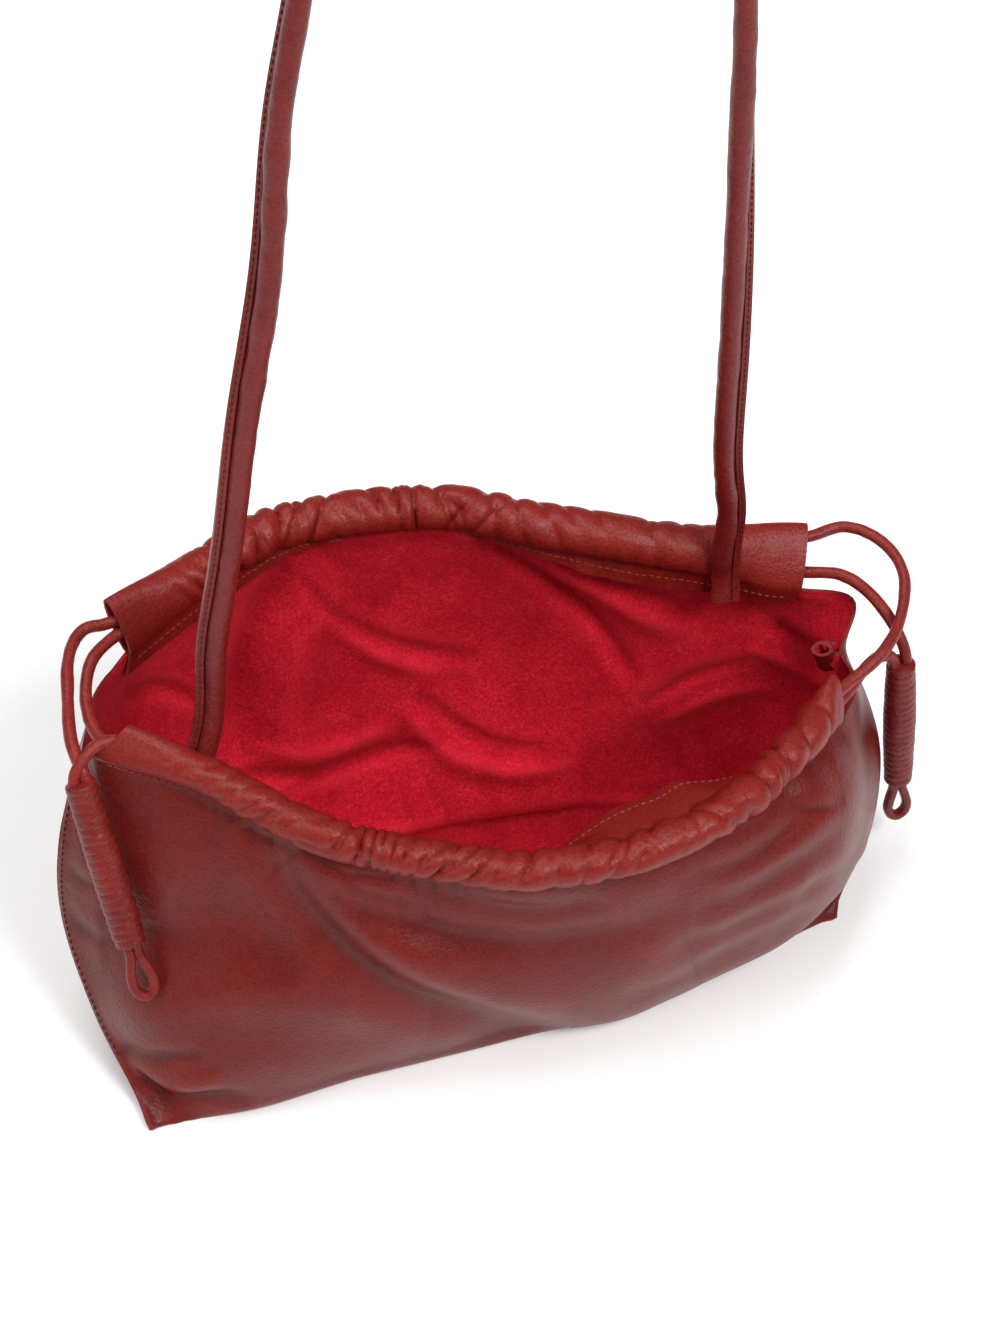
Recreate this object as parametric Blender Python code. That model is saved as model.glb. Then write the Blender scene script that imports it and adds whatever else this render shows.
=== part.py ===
"""A soft leather drawstring pouch with its mouth open, standing on its flattened base.

Two leather panels are sewn together at the sides and under the base. The top edge of each is turned
inside as a gathered casing. Two draw cords run through both casings, and each ends in a wound toggle.
The shoulder strap is a rolled tube with a stitched flange. Metres, +Z up, and -Y is the front.
"""

import math
import random

import bpy
import numpy as np

# Overall sizes, which the guide points below are shares of
BAG_WIDTH = 0.348
BAG_DEPTH = 0.176
BAG_HEIGHT = 0.172
STRAP_RISE = 0.455

# Leather, seams and casings
LEATHER = 0.0013
GAP = 0.0004
ALLOWANCE = 0.007
HEM_FLAP = 0.006
CASING_FLAT_HEIGHT = 0.027
CASING_ROLL = 0.0170
GATHER_DEPTH = 0.0022
# The shares of a casing's length over which it is drawn in from flat to round, and of a panel's
# width and height over which its seam allowances narrow towards the base's corners
DRAWN_LEFT = 0.22
DRAWN_RIGHT = 0.16
CORNER_WIDTH = 0.14
CORNER_HEIGHT = 0.2
# How far the leather lies off the floor's level and the panels part at the corners, in thicknesses
FLOOR_EASE = 8
CORNER_EASE = 10
CORNER_PARTING = 0.7

# Cords, toggles and strap
CORD_DIAMETER = 0.005
TOGGLE_DIAMETER = 0.0135
TOGGLE_LENGTH = 0.074
TOGGLE_TURNS = 16
LOOP_LENGTH = 0.026
LOOP_WIDTH = 0.0125
LOOP_CORD_WIDTH = 0.0046
LOOP_CORD_THICKNESS = 0.0028
STRAP_DIAMETER = 0.0086
STRAP_FLANGE = 0.0034
STRAP_TAIL = 0.012
STRAP_CLEAR_RISE = 0.020
STRAP_TAIL_THICKNESS = 0.0045
FLANGE_TURN = 70
TOGGLE_WAIST = 0.90
TURN_WAIST = 0.93
# The angle either side of the flange that the strap's tube leaves open to it, in degrees
FLANGE_OPENING = 35

# Mesh fineness
CASING_COLUMNS = 60
SIDE_COLUMNS = 3
CASING_FACETS = 7
STRAP_FACETS = 6
STRAP_RINGS = 32
TOGGLE_SIDES = 9
LOOP_SIDES = 8
LOOP_RINGS = 15
STRAP_END_RINGS = 9
CORD_STEP = 0.0125
CORD_STATIONS = 27

# The bag's guide points: x as a share of half the width, y of the depth, z of the height.
# Both panels end on the same two side seams, which run up from the base's corners.
LEFT_SEAM = [(-0.885, -0.250, 0), (-0.887, -0.248, 0.012), (-0.90, -0.175, 0.055), (-0.955, -0.03, 0.20),
             (-0.985, 0.10, 0.42), (-0.955, 0.145, 0.67), (-0.87, 0.225, 0.86)]
RIGHT_SEAM = [(0.88, -0.091, 0), (0.883, -0.089, 0.012), (0.91, -0.045, 0.055), (0.99, 0.015, 0.19),
              (1.02, 0.085, 0.39), (0.99, 0.155, 0.56), (0.93, 0.185, 0.69)]

# The rows between the side seams, from the seam under the base upwards
BASE_SEAM = [(-0.72, -0.226, 0), (-0.40, -0.200, 0), (0.0, -0.175, 0), (0.40, -0.145, 0), (0.70, -0.100, 0)]
FRONT_ROWS = [
    BASE_SEAM,
    [(-0.79, -0.253, 0), (-0.35, -0.238, 0), (0.06, -0.227, 0), (0.38, -0.205, 0), (0.72, -0.13, 0)],
    [(-0.73, -0.262, 0.05), (-0.35, -0.262, 0.06), (0.06, -0.256, 0.06), (0.35, -0.245, 0.06),
     (0.64, -0.19, 0.06)],
    [(-0.79, -0.225, 0.21), (-0.36, -0.290, 0.22), (0.07, -0.302, 0.21), (0.42, -0.295, 0.20),
     (0.76, -0.215, 0.19)],
    [(-0.83, -0.095, 0.43), (-0.42, -0.262, 0.44), (0.05, -0.325, 0.43), (0.43, -0.335, 0.41),
     (0.80, -0.230, 0.40)],
    [(-0.82, 0.01, 0.69), (-0.44, -0.195, 0.66), (0.03, -0.312, 0.62), (0.43, -0.335, 0.60),
     (0.81, -0.205, 0.60)],
]
BACK_ROWS = [
    BASE_SEAM,
    [(-0.80, 0.06, 0), (-0.50, 0.27, 0), (0.0, 0.35, 0), (0.45, 0.30, 0), (0.74, 0.13, 0)],
    [(-0.845, 0.08, 0.05), (-0.53, 0.325, 0.06), (0.0, 0.415, 0.06), (0.47, 0.355, 0.06), (0.79, 0.15, 0.05)],
    [(-0.90, 0.15, 0.20), (-0.60, 0.40, 0.20), (0.0, 0.51, 0.20), (0.50, 0.445, 0.20), (0.89, 0.20, 0.20)],
    [(-0.92, 0.25, 0.42), (-0.60, 0.49, 0.42), (0.0, 0.59, 0.42), (0.47, 0.50, 0.42), (0.90, 0.30, 0.40)],
    [(-0.88, 0.32, 0.68), (-0.55, 0.56, 0.68), (0.0, 0.635, 0.68), (0.44, 0.51, 0.66), (0.89, 0.36, 0.60)],
]
# Where each panel's top edge passes between a side seam and its casing, left and right
FRONT_CORNERS = [(-0.86, 0.16, 0.875), (0.93, 0.08, 0.70)]
BACK_CORNERS = [(-0.81, 0.36, 0.895), (1.0, 0.30, 0.735)]

# The middle line of each casing, and how far its upright axis leans outwards along it, in degrees
FRONT_CASING = [(-0.79, 0.13, 0.96), (-0.62, 0.02, 0.93), (-0.465, -0.108, 0.872), (-0.23, -0.233, 0.826),
                (0.02, -0.318, 0.802), (0.28, -0.335, 0.802), (0.51, -0.273, 0.808), (0.64, -0.182, 0.796),
                (0.845, -0.006, 0.767)]
FRONT_LEAN = [-38, -30, -18, -8, 0, 2, 0, -4, -14]
BACK_CASING = [(-0.74, 0.438, 1.0), (-0.53, 0.557, 1.0), (-0.345, 0.642, 1.0), (-0.13, 0.665, 0.98),
               (0.10, 0.622, 0.950), (0.29, 0.540, 0.900), (0.42, 0.490, 0.878), (0.695, 0.420, 0.846),
               (0.895, 0.386, 0.826)]
BACK_LEAN = [24, 16, 8, 4, 8, 16, 24, 36, 44]

# Cord routes outside the casings, in the same shares, each from one casing end to the next piece
LEFT_TOGGLE_TOP = (-0.897, 0.085, 0.925)
LEFT_TOGGLE_END = (-0.850, -0.104, 0.53)
RIGHT_TOGGLE_TOP = (1.058, 0.118, 0.69)
RIGHT_TOGGLE_END = (1.085, 0.095, 0.26)
LEFT_LOOP = [(-0.815, 0.380, 0.985), (-0.835, 0.325, 0.970), (-0.850, 0.245, 0.955), (-0.835, 0.180, 0.945)]
LEFT_OUTER = [(-0.80, 0.47, 1.0), (-0.857, 0.40, 1.004), (-0.878, 0.31, 0.985), (-0.892, 0.22, 0.975),
              (-0.900, 0.145, 0.965)]
LEFT_INNER = [(-0.845, 0.142, 0.984), (-0.878, 0.112, 0.965)]
RIGHT_OUTER = [(0.975, 0.435, 0.862), (1.065, 0.375, 0.868), (1.105, 0.275, 0.850), (1.065, 0.165, 0.815),
               (0.965, 0.055, 0.803)]
RIGHT_BACK = [(0.955, 0.335, 0.815), (1.02, 0.26, 0.80), (1.055, 0.175, 0.765)]
RIGHT_FRONT = [(0.90, 0.034, 0.746), (0.975, 0.10, 0.76), (1.03, 0.115, 0.745)]

# The strap's middle line above its two sewn ends, with z as a share of its rise above the bag
STRAP_SIDE_LEFT = [(-0.562, 0.131, 0.085), (-0.509, 0.142, 0.185), (-0.445, 0.153, 0.335),
                   (-0.375, 0.165, 0.471)]
STRAP_ARCH = [(-0.324, 0.188, 0.63), (-0.277, 0.199, 0.71), (-0.20, 0.210, 0.86), (0.0, 0.225, 0.975),
              (0.22, 0.235, 0.99), (0.44, 0.250, 0.90), (0.56, 0.265, 0.76)]
STRAP_SIDE_RIGHT = [(0.605, 0.275, 0.62), (0.628, 0.290, 0.45), (0.650, 0.310, 0.24), (0.672, 0.318, 0.111)]
STRAP_LEFT_AT = 0.09
STRAP_RIGHT_AT = 0.873


def at(share):
    """A guide point in metres."""
    return np.array([share[0] * BAG_WIDTH / 2, share[1] * BAG_DEPTH, share[2] * BAG_HEIGHT])


def along(points):
    """The share of the whole length at each point."""
    steps = np.linalg.norm(np.diff(points, axis=0), axis=1)
    total = np.concatenate([[0.0], np.cumsum(steps)])
    return total / total[-1]


def smooth(points, places):
    """A smooth curve through the points, read at places from 0 to 1 along it."""
    points = np.asarray(points, float)
    if points.ndim == 1:
        points = points[:, None]
    knots = along(points) if points.shape[1] == 3 else np.linspace(0, 1, len(points))
    slopes = np.gradient(points, knots, axis=0)
    places = np.clip(np.atleast_1d(places), 0, 1)
    i = np.clip(np.searchsorted(knots, places, side="right") - 1, 0, len(knots) - 2)
    width = (knots[i + 1] - knots[i])[:, None]
    t = ((places - knots[i]) / (knots[i + 1] - knots[i]))[:, None]
    return (
        (2 * t**3 - 3 * t**2 + 1) * points[i]
        + (t**3 - 2 * t**2 + t) * width * slopes[i]
        + (3 * t**2 - 2 * t**3) * points[i + 1]
        + (t**3 - t**2) * width * slopes[i + 1]
    )


def unit(v):
    return v / np.maximum(np.linalg.norm(v, axis=-1, keepdims=True), 1e-12)


def ease(x):
    """0 below 0, 1 above 1, and smooth between."""
    x = np.clip(x, 0, 1)
    return x * x * (3 - 2 * x)


def material(name, colour, roughness):
    made = bpy.data.materials.new(name)
    made.use_nodes = True
    shader = made.node_tree.nodes["Principled BSDF"]
    shader.inputs["Base Color"].default_value = (*colour, 1)
    shader.inputs["Roughness"].default_value = roughness
    shader.inputs["Metallic"].default_value = 0.0
    return made


def mesh_object(name, points, faces, finish):
    """A smooth-shaded mesh object in the scene."""
    mesh = bpy.data.meshes.new(name)
    mesh.from_pydata([tuple(p) for p in points], [], faces)
    mesh.materials.append(finish)
    mesh.shade_smooth()
    mesh.set_sharp_from_angle(angle=math.radians(60))
    made = bpy.data.objects.new(name, mesh)
    bpy.context.scene.collection.objects.link(made)
    return made


class Casing:
    """One gathered casing: a flattened sleeve at its ends that is drawn into a round roll between them."""

    def __init__(self, guide, lean, outward):
        self.line = np.array([at(p) for p in guide])
        self.lean = lean
        self.outward = outward

    def frame(self, places):
        """The middle, the way along, the upright axis and the outward axis at each place."""
        step = 0.002
        middle = smooth(self.line, places)
        before, after = np.clip(places - step, 0, 1), np.clip(places + step, 0, 1)
        tangent = unit(smooth(self.line, after) - smooth(self.line, before))
        out = unit(np.cross(tangent, (0, 0, 1)) * self.outward)
        up = unit(np.cross(out, tangent) * self.outward)
        lean = np.radians(smooth(self.lean, places))
        axis = up * np.cos(lean) + out * np.sin(lean)
        side = out * np.cos(lean) - up * np.sin(lean)
        return middle, tangent, axis, side

    def half_sizes(self, places):
        """Half the height and half the thickness of the sleeve, to the middle of the leather."""
        drawn = ease(places / DRAWN_LEFT) * ease((1 - places) / DRAWN_RIGHT)
        flat = (CASING_FLAT_HEIGHT - LEATHER) / 2
        thin = (CORD_DIAMETER + LEATHER) / 2 + 2 * GAP
        roll = (CASING_ROLL - LEATHER) / 2
        return flat + (roll - flat) * drawn, thin + (roll - thin) * drawn, drawn

    def section(self, place, depth):
        """The sleeve's section at one place, from the outer stitch line over the top to the flap's edge."""
        middle, _, axis, side = (v[0] for v in self.frame(np.array([place])))
        tall, thick, drawn = (float(v[0]) for v in self.half_sizes(np.array([place])))
        tall -= depth * drawn * 0.5
        thick -= depth * drawn
        layer = (LEATHER + GAP) / 2
        start = math.asin(layer / thick)
        turns = np.linspace(start, 2 * math.pi - start, CASING_FACETS + 1)
        ring = [middle - axis * tall * math.cos(t) + side * thick * math.sin(t) for t in turns]
        return [*ring, ring[-1] - axis * HEM_FLAP]

    def cord_line(self, which):
        """The middle of the upper (+1) or lower (-1) of the two cords in the sleeve, and just outside it."""
        middle, tangent, axis, _ = self.frame(np.linspace(0, 1, CORD_STATIONS))
        line = middle + axis * which * (CORD_DIAMETER + GAP) / 2
        return [line[0] - tangent[0] * CORD_DIAMETER, *line, line[-1] + tangent[-1] * CORD_DIAMETER]


def panel(name, casing, guide_rows, corners, finish):
    """One leather panel from the seam under the base to the flap of its casing.

    Its columns run from the left seam to the right one. Rows below the casing have half as many
    columns as the casing's own rows, and a row of fans joins the two.
    """
    facing = casing.outward
    half = CASING_COLUMNS // 2
    casing_places = np.linspace(0, 1, CASING_COLUMNS + 1)
    random.seed(7 if facing > 0 else 11)
    sections = []
    for k, place in enumerate(casing_places):
        depth = GATHER_DEPTH * random.uniform(0.75, 1.1) if k % 2 else GATHER_DEPTH * random.uniform(0, 0.2)
        sections.append(casing.section(place, depth))
    sections = np.array(sections)

    stitch = sections[::2, 0]
    steps = np.arange(SIDE_COLUMNS) / SIDE_COLUMNS
    left = smooth(np.array([at(LEFT_SEAM[-1]), at(corners[0]), stitch[0]]), steps)
    right = smooth(np.array([at(RIGHT_SEAM[-1]), at(corners[1]), stitch[-1]]), steps)[::-1]
    top = np.array([*left, *stitch, *right])
    places = along(top)
    count = len(top)

    grid = []
    for first, inner, last in zip(LEFT_SEAM, guide_rows, RIGHT_SEAM):
        grid.append(smooth(np.array([at(p) for p in (first, *inner, last)]), places))
    grid = np.array([*grid, top])
    grid[:, :, 2] = np.maximum(grid[:, :, 2], 0)
    grid[:, :, 2] += LEATHER / 2 * (1 - ease(grid[:, :, 2] / (FLOOR_EASE * LEATHER)))
    middle_rows = []
    for r in range(len(grid) - 1):
        middle_rows.append(grid[r])
        if r >= 3:
            middle_rows.append(smooth_between(grid, r))
    rows = np.array([*middle_rows, grid[-1]])

    rows = pulled_to_seams(rows, facing)
    seam_edge = rows[0].copy()
    rise = np.maximum(ease(np.minimum(places, 1 - places) / CORNER_WIDTH) * ALLOWANCE, LEATHER)
    seam_edge[:, 2] += rise
    rows = np.concatenate([[seam_edge], rows])
    rows = with_side_allowances(rows, facing)

    points = list(rows.reshape(-1, 3))
    wide = count + 2
    faces = []
    for r in range(len(rows) - 1):
        for c in range(wide - 1):
            a = r * wide + c
            faces.append((a, a + 1, a + wide + 1, a + wide))

    top_row = (len(rows) - 1) * wide + 1 + SIDE_COLUMNS
    ring_count = sections.shape[1]
    number = {}
    for k in range(CASING_COLUMNS + 1):
        for j in range(1, ring_count):
            number[k, j] = len(points)
            points.append(sections[k, j])
    for k in range(half):
        low_a, low_b = top_row + k, top_row + k + 1
        a, b, c = number[2 * k, 1], number[2 * k + 1, 1], number[2 * k + 2, 1]
        faces += [(low_a, b, a), (low_a, low_b, b), (low_b, c, b)]
    for k in range(CASING_COLUMNS):
        for j in range(1, ring_count - 1):
            faces.append((number[k, j], number[k + 1, j], number[k + 1, j + 1], number[k, j + 1]))
    if facing < 0:
        faces = [tuple(reversed(f)) for f in faces]
    made = mesh_object(name, points, faces, finish)
    thick = made.modifiers.new("Leather", "SOLIDIFY")
    thick.thickness = LEATHER
    thick.offset = 0
    return made


def smooth_between(grid, r):
    """The row halfway between guide rows r and r + 1, on a smooth curve through their neighbours."""
    before = grid[max(r - 1, 0)]
    after = grid[min(r + 2, len(grid) - 1)]
    return (9 * (grid[r] + grid[r + 1]) - before - after) / 16


def pulled_to_seams(rows, facing):
    """Each row's end columns moved half a seam apart from the other panel's."""
    rows = rows.copy()
    for column in (0, -1):
        line = rows[:, column]
        low = (1 - ease(line[:, 2] / (CORNER_EASE * LEATHER)))[:, None]
        apart = (LEATHER + GAP) / 2 * (1 + low * CORNER_PARTING)
        line[:, 2:] += apart * low
        way = unit(np.gradient(line, axis=0))
        inward = np.array([1.0 if column == 0 else -1.0, 0, 0])
        side = unit(np.cross(way, inward))
        side *= np.sign(side[-1, 1] * -facing + 1e-9)
        rows[:, column] = line + side * apart
    rows[0, 1:-1, 1] -= facing * (LEATHER + GAP) / 2
    return rows


def with_side_allowances(rows, facing):
    """The rows with one more column at each end, turned into the bag beside the seam."""
    edges = []
    for column in (0, -1):
        inward = np.array([1.0 if column == 0 else -1.0, 0, 0])
        height = rows[:, column, 2]
        reach = np.maximum(ease(height / (CORNER_HEIGHT * BAG_HEIGHT)) * ALLOWANCE, LEATHER)
        edges.append(rows[:, column] + inward * reach[:, None])
    return np.concatenate([edges[0][:, None], rows, edges[1][:, None]], axis=1)


def cord(name, route, finish):
    """A cord through its route's points, with more points on a smooth curve where they lie far apart."""
    route = np.array(route)
    length = np.linalg.norm(np.diff(route, axis=0), axis=1).sum()
    knots = along(route)
    places = []
    for a, b in zip(knots, knots[1:]):
        parts = max(1, round((b - a) * length / CORD_STEP))
        places += list(np.linspace(a, b, parts + 1)[:-1])
    points = smooth(route, [*places, 1.0])
    curve = bpy.data.curves.new(name, "CURVE")
    curve.dimensions = "3D"
    curve.bevel_depth = CORD_DIAMETER / 2
    curve.bevel_resolution = 2
    curve.use_fill_caps = True
    curve.materials.append(finish)
    spline = curve.splines.new("POLY")
    spline.points.add(len(points) - 1)
    for target, p in zip(spline.points, points):
        target.co = (*p, 1)
    made = bpy.data.objects.new(name, curve)
    bpy.context.scene.collection.objects.link(made)
    return made


def toggle_frame(top, end):
    """The toggle's top, its way down and two axes across it, the first along the pair of cords."""
    start = at(top)
    down = unit(at(end) - start)
    across = unit(np.cross(down, (1, 0, 0)))
    return start, down, np.cross(down, across), across


def cord_ends(top, end):
    """The two ends of a cord above its toggle: up from it at the rear, and down to it at the front."""
    start, down, across, _ = toggle_frame(top, end)
    across = across * math.copysign(1, across[1])
    apart = across * (CORD_DIAMETER + GAP) / 2
    rising = [start + apart - down * depth for depth in (GAP, CORD_DIAMETER)]
    falling = [start - apart - down * depth for depth in (CORD_DIAMETER, GAP)]
    return rising, falling


def toggle_wrap(name, top, end, finish):
    """A strip wound in a slightly barrelled stack of turns."""
    start, down, across, other = toggle_frame(top, end)
    turn = TOGGLE_LENGTH / TOGGLE_TURNS
    profile = [(0.0, 0.0)]
    for k in range(TOGGLE_TURNS):
        middle = (k + 0.5) / TOGGLE_TURNS
        radius = TOGGLE_DIAMETER / 2 * (TOGGLE_WAIST + (1 - TOGGLE_WAIST) * math.sin(math.pi * middle))
        if k == 0:
            profile.append((0.0, radius * TOGGLE_WAIST))
        profile.append(((k + 0.5) * turn, radius))
        profile.append(((k + 1) * turn, radius * TURN_WAIST))
    profile.append((TOGGLE_LENGTH, 0.0))
    points, rings, faces = [], [], []
    for depth, radius in profile:
        if radius == 0:
            rings.append([len(points)])
            points.append(start + down * depth)
            continue
        angles = np.linspace(0, 2 * math.pi, TOGGLE_SIDES, endpoint=False)
        rings.append(list(range(len(points), len(points) + TOGGLE_SIDES)))
        middle = start + down * depth
        points += [middle + radius * (across * math.cos(t) + other * math.sin(t)) for t in angles]
    for upper, lower in zip(rings, rings[1:]):
        for i in range(TOGGLE_SIDES):
            j = (i + 1) % TOGGLE_SIDES
            if len(upper) == 1:
                faces.append((upper[0], lower[j], lower[i]))
            elif len(lower) == 1:
                faces.append((lower[0], upper[i], upper[j]))
            else:
                faces.append((upper[i], upper[j], lower[j], lower[i]))
    return mesh_object(name, points, outward_faces(points, faces), finish)


def outward_faces(points, faces):
    """The faces, turned round if the closed shape that they make is inside out."""
    volume = 0.0
    for face in faces:
        for i in range(1, len(face) - 1):
            a, b, c = points[face[0]], points[face[i]], points[face[i + 1]]
            volume += float(np.dot(a, np.cross(b, c)))
    return faces if volume > 0 else [tuple(reversed(f)) for f in faces]


def swept(name, centres, sides, tops, section, finish):
    """A closed bar along centres. section(i) gives its outline as shares of sides[i] and tops[i]."""
    points, faces = [], []
    size = len(section(0))
    for i, centre in enumerate(centres):
        points += [centre + sides[i] * x + tops[i] * y for x, y in section(i)]
    for i in range(len(centres) - 1):
        for k in range(size):
            a, b = i * size + k, i * size + (k + 1) % size
            faces.append((a, b, b + size, a + size))
    last = (len(centres) - 1) * size
    faces.append(tuple(reversed(range(size))))
    faces.append(tuple(range(last, last + size)))
    return mesh_object(name, points, outward_faces(points, faces), finish)


def toggle_loop(name, top, end, finish):
    """The flattened loop below a winding, from one side of its lower face to the other."""
    start, down, across, other = toggle_frame(top, end)
    begin = start + down * (TOGGLE_LENGTH + GAP)
    reach = LOOP_LENGTH - LOOP_CORD_THICKNESS / 2
    half = (LOOP_WIDTH - LOOP_CORD_THICKNESS) / 2
    neck = LOOP_CORD_THICKNESS * 0.75
    route = [(-neck, 0), (-half * 0.8, reach * 0.35), (-half, reach * 0.68), (-half * 0.6, reach * 0.93),
             (0, reach)]
    route += [(-x, y) for x, y in reversed(route[:-1])]
    line = np.array([begin + across * x + down * y for x, y in route])
    centres = smooth(line, np.linspace(0, 1, LOOP_RINGS))
    way = unit(np.gradient(centres, axis=0))
    way[0], way[-1] = down, -down
    sides = np.cross(way, other)
    tops = np.repeat(other[None], len(centres), axis=0)
    half_thick, half_wide = LOOP_CORD_THICKNESS / 2, LOOP_CORD_WIDTH / 2
    turns = np.linspace(0, 2 * math.pi, LOOP_SIDES, endpoint=False)
    outline = [(half_thick * math.cos(t), half_wide * math.sin(t)) for t in turns]
    return swept(name, centres, sides, tops, lambda i: outline, finish)


def strap_end(casing, place):
    """The sewn end of the strap inside a casing, from its tail to where it is clear of the roll."""
    middle, tangent, axis, side = (v[0] for v in casing.frame(np.array([place])))
    tall, thick, _ = (float(v[0]) for v in casing.half_sizes(np.array([place])))
    lean = math.radians(float(smooth(casing.lean, place)[0, 0]))
    against = (LEATHER + GAP) / 2 + LEATHER / 2 + GAP + STRAP_TAIL_THICKNESS / 2
    off_roll = thick + LEATHER / 2 + GAP + STRAP_DIAMETER / 2
    below = middle - side * against - axis * tall
    clear = off_roll + STRAP_CLEAR_RISE * max(0.0, math.sin(lean))
    return [
        below - axis * STRAP_TAIL,
        below - axis * STRAP_TAIL / 2,
        middle - side * (against + off_roll) / 2 * 1.05 - axis * tall * 0.75,
        middle - side * off_roll - axis * tall * 0.4,
        middle - side * clear + axis * (STRAP_CLEAR_RISE * math.cos(lean) - tall * 0.4),
    ], tangent


def strap(front, back, finish):
    """The shoulder strap: a tube with a flange on the outside of its arch, flattened at its sewn ends."""
    left_end, left_across = strap_end(front, STRAP_LEFT_AT)
    right_end, right_across = strap_end(back, STRAP_RIGHT_AT)

    def risen(share):
        return np.array([share[0] * BAG_WIDTH / 2, share[1] * BAG_DEPTH, BAG_HEIGHT + share[2] * STRAP_RISE])

    upper = [risen(p) for p in (*STRAP_SIDE_LEFT, *STRAP_ARCH, *STRAP_SIDE_RIGHT)]
    route = np.array([*left_end, *upper, *reversed(right_end)])
    share = along(route)
    rise_at = share[len(left_end)], share[-len(right_end) - 1]
    places = np.concatenate([
        np.linspace(0, rise_at[0], STRAP_END_RINGS)[:-1],
        np.linspace(rise_at[0], rise_at[1], STRAP_RINGS),
        np.linspace(rise_at[1], 1, STRAP_END_RINGS)[1:],
    ])
    centres = smooth(route, places)
    way = unit(np.gradient(centres, axis=0))
    total = np.linalg.norm(np.diff(centres, axis=0), axis=1).sum()
    across = unit(np.cross(way, (0, 1.0, 0)))
    across *= -np.sign(across[0, 0])
    from_end = np.minimum(places, 1 - places) * total
    sewn = (1 - ease((from_end - STRAP_TAIL) / STRAP_CLEAR_RISE))[:, None]
    along_casing = np.where(places[:, None] < 0.5, -left_across, right_across)
    across = across * (1 - sewn) + along_casing * sewn
    across = unit(across - way * (across * way).sum(axis=1, keepdims=True))
    behind = np.cross(way, across)
    behind *= np.sign(behind[:, 1:2])
    turned = np.radians(FLANGE_TURN) * ease((centres[:, 2:] - BAG_HEIGHT) / STRAP_RISE * 2 - 0.4)
    tops = behind * np.cos(turned) - across * np.sin(turned)
    across = across * np.cos(turned) + behind * np.sin(turned)
    flat = 1 - ease((from_end - STRAP_TAIL) / STRAP_TAIL)

    def section(i):
        radius = STRAP_DIAMETER / 2
        thin = STRAP_TAIL_THICKNESS / 2
        tall = radius + (thin - radius) * flat[i]
        angles = np.radians(np.linspace(FLANGE_OPENING, 360 - FLANGE_OPENING, STRAP_FACETS))
        tube = [(radius * math.cos(t), tall * math.sin(t)) for t in angles]
        edge = radius + STRAP_FLANGE
        return [*tube, (edge, -LEATHER), (edge, LEATHER)]

    return swept("strap", centres, across, tops, section, finish)


def build():
    for old in list(bpy.data.objects):
        bpy.data.objects.remove(old)
    grain = material("grain_leather", (0.235, 0.040, 0.032), 0.45)
    cord_leather = material("cord_leather", (0.30, 0.055, 0.045), 0.45)
    strap_leather = material("strap_leather", (0.21, 0.042, 0.036), 0.48)
    wound = material("wound_leather", (0.27, 0.042, 0.035), 0.5)

    front = Casing(FRONT_CASING, FRONT_LEAN, 1)
    back = Casing(BACK_CASING, BACK_LEAN, -1)
    panel("front_panel", front, FRONT_ROWS, FRONT_CORNERS, grain)
    panel("back_panel", back, BACK_ROWS, BACK_CORNERS, grain)

    left_start, left_finish = cord_ends(LEFT_TOGGLE_TOP, LEFT_TOGGLE_END)
    right_start, right_finish = cord_ends(RIGHT_TOGGLE_TOP, RIGHT_TOGGLE_END)
    cord("drawcord_left", [
        *left_start,
        *[at(p) for p in reversed(LEFT_OUTER)],
        *back.cord_line(1),
        *[at(p) for p in RIGHT_OUTER],
        *front.cord_line(1)[::-1],
        *[at(p) for p in LEFT_INNER],
        *left_finish,
    ], cord_leather)
    cord("drawcord_right", [
        *right_start,
        *[at(p) for p in reversed(RIGHT_BACK)],
        *back.cord_line(-1)[::-1],
        *[at(p) for p in LEFT_LOOP],
        *front.cord_line(-1),
        *[at(p) for p in RIGHT_FRONT],
        *right_finish,
    ], cord_leather)

    toggle_wrap("toggle_wrap_left", LEFT_TOGGLE_TOP, LEFT_TOGGLE_END, wound)
    toggle_wrap("toggle_wrap_right", RIGHT_TOGGLE_TOP, RIGHT_TOGGLE_END, wound)
    toggle_loop("toggle_loop_left", LEFT_TOGGLE_TOP, LEFT_TOGGLE_END, wound)
    toggle_loop("toggle_loop_right", RIGHT_TOGGLE_TOP, RIGHT_TOGGLE_END, wound)
    strap(front, back, strap_leather)


build()
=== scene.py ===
"""The looks of the leather drawstring pouch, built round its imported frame. Metres, +Z up, -Y the front.

Each leather panel is a fine sheet with gathers, folds and a turned and stitched casing, grain outside
and suede inside. The cords, wound toggles and strap follow the same routes as their solids.
"""

import math

import bpy
import numpy as np
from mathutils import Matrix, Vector


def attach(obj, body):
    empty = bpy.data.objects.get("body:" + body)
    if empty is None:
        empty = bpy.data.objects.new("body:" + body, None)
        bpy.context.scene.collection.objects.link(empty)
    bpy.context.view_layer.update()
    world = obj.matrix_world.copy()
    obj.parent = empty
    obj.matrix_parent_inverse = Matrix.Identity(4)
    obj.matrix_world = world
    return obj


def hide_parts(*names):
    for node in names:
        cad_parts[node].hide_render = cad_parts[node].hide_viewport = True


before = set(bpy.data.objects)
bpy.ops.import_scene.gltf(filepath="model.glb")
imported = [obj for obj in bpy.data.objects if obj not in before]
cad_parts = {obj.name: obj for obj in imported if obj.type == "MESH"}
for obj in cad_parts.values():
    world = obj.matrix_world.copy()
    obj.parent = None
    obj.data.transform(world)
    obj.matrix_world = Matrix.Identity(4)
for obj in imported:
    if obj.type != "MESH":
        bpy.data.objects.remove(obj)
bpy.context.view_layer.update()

# Overall sizes, which the guide points below are shares of
BAG_WIDTH = 0.348
BAG_DEPTH = 0.176
BAG_HEIGHT = 0.172
STRAP_RISE = 0.455

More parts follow.
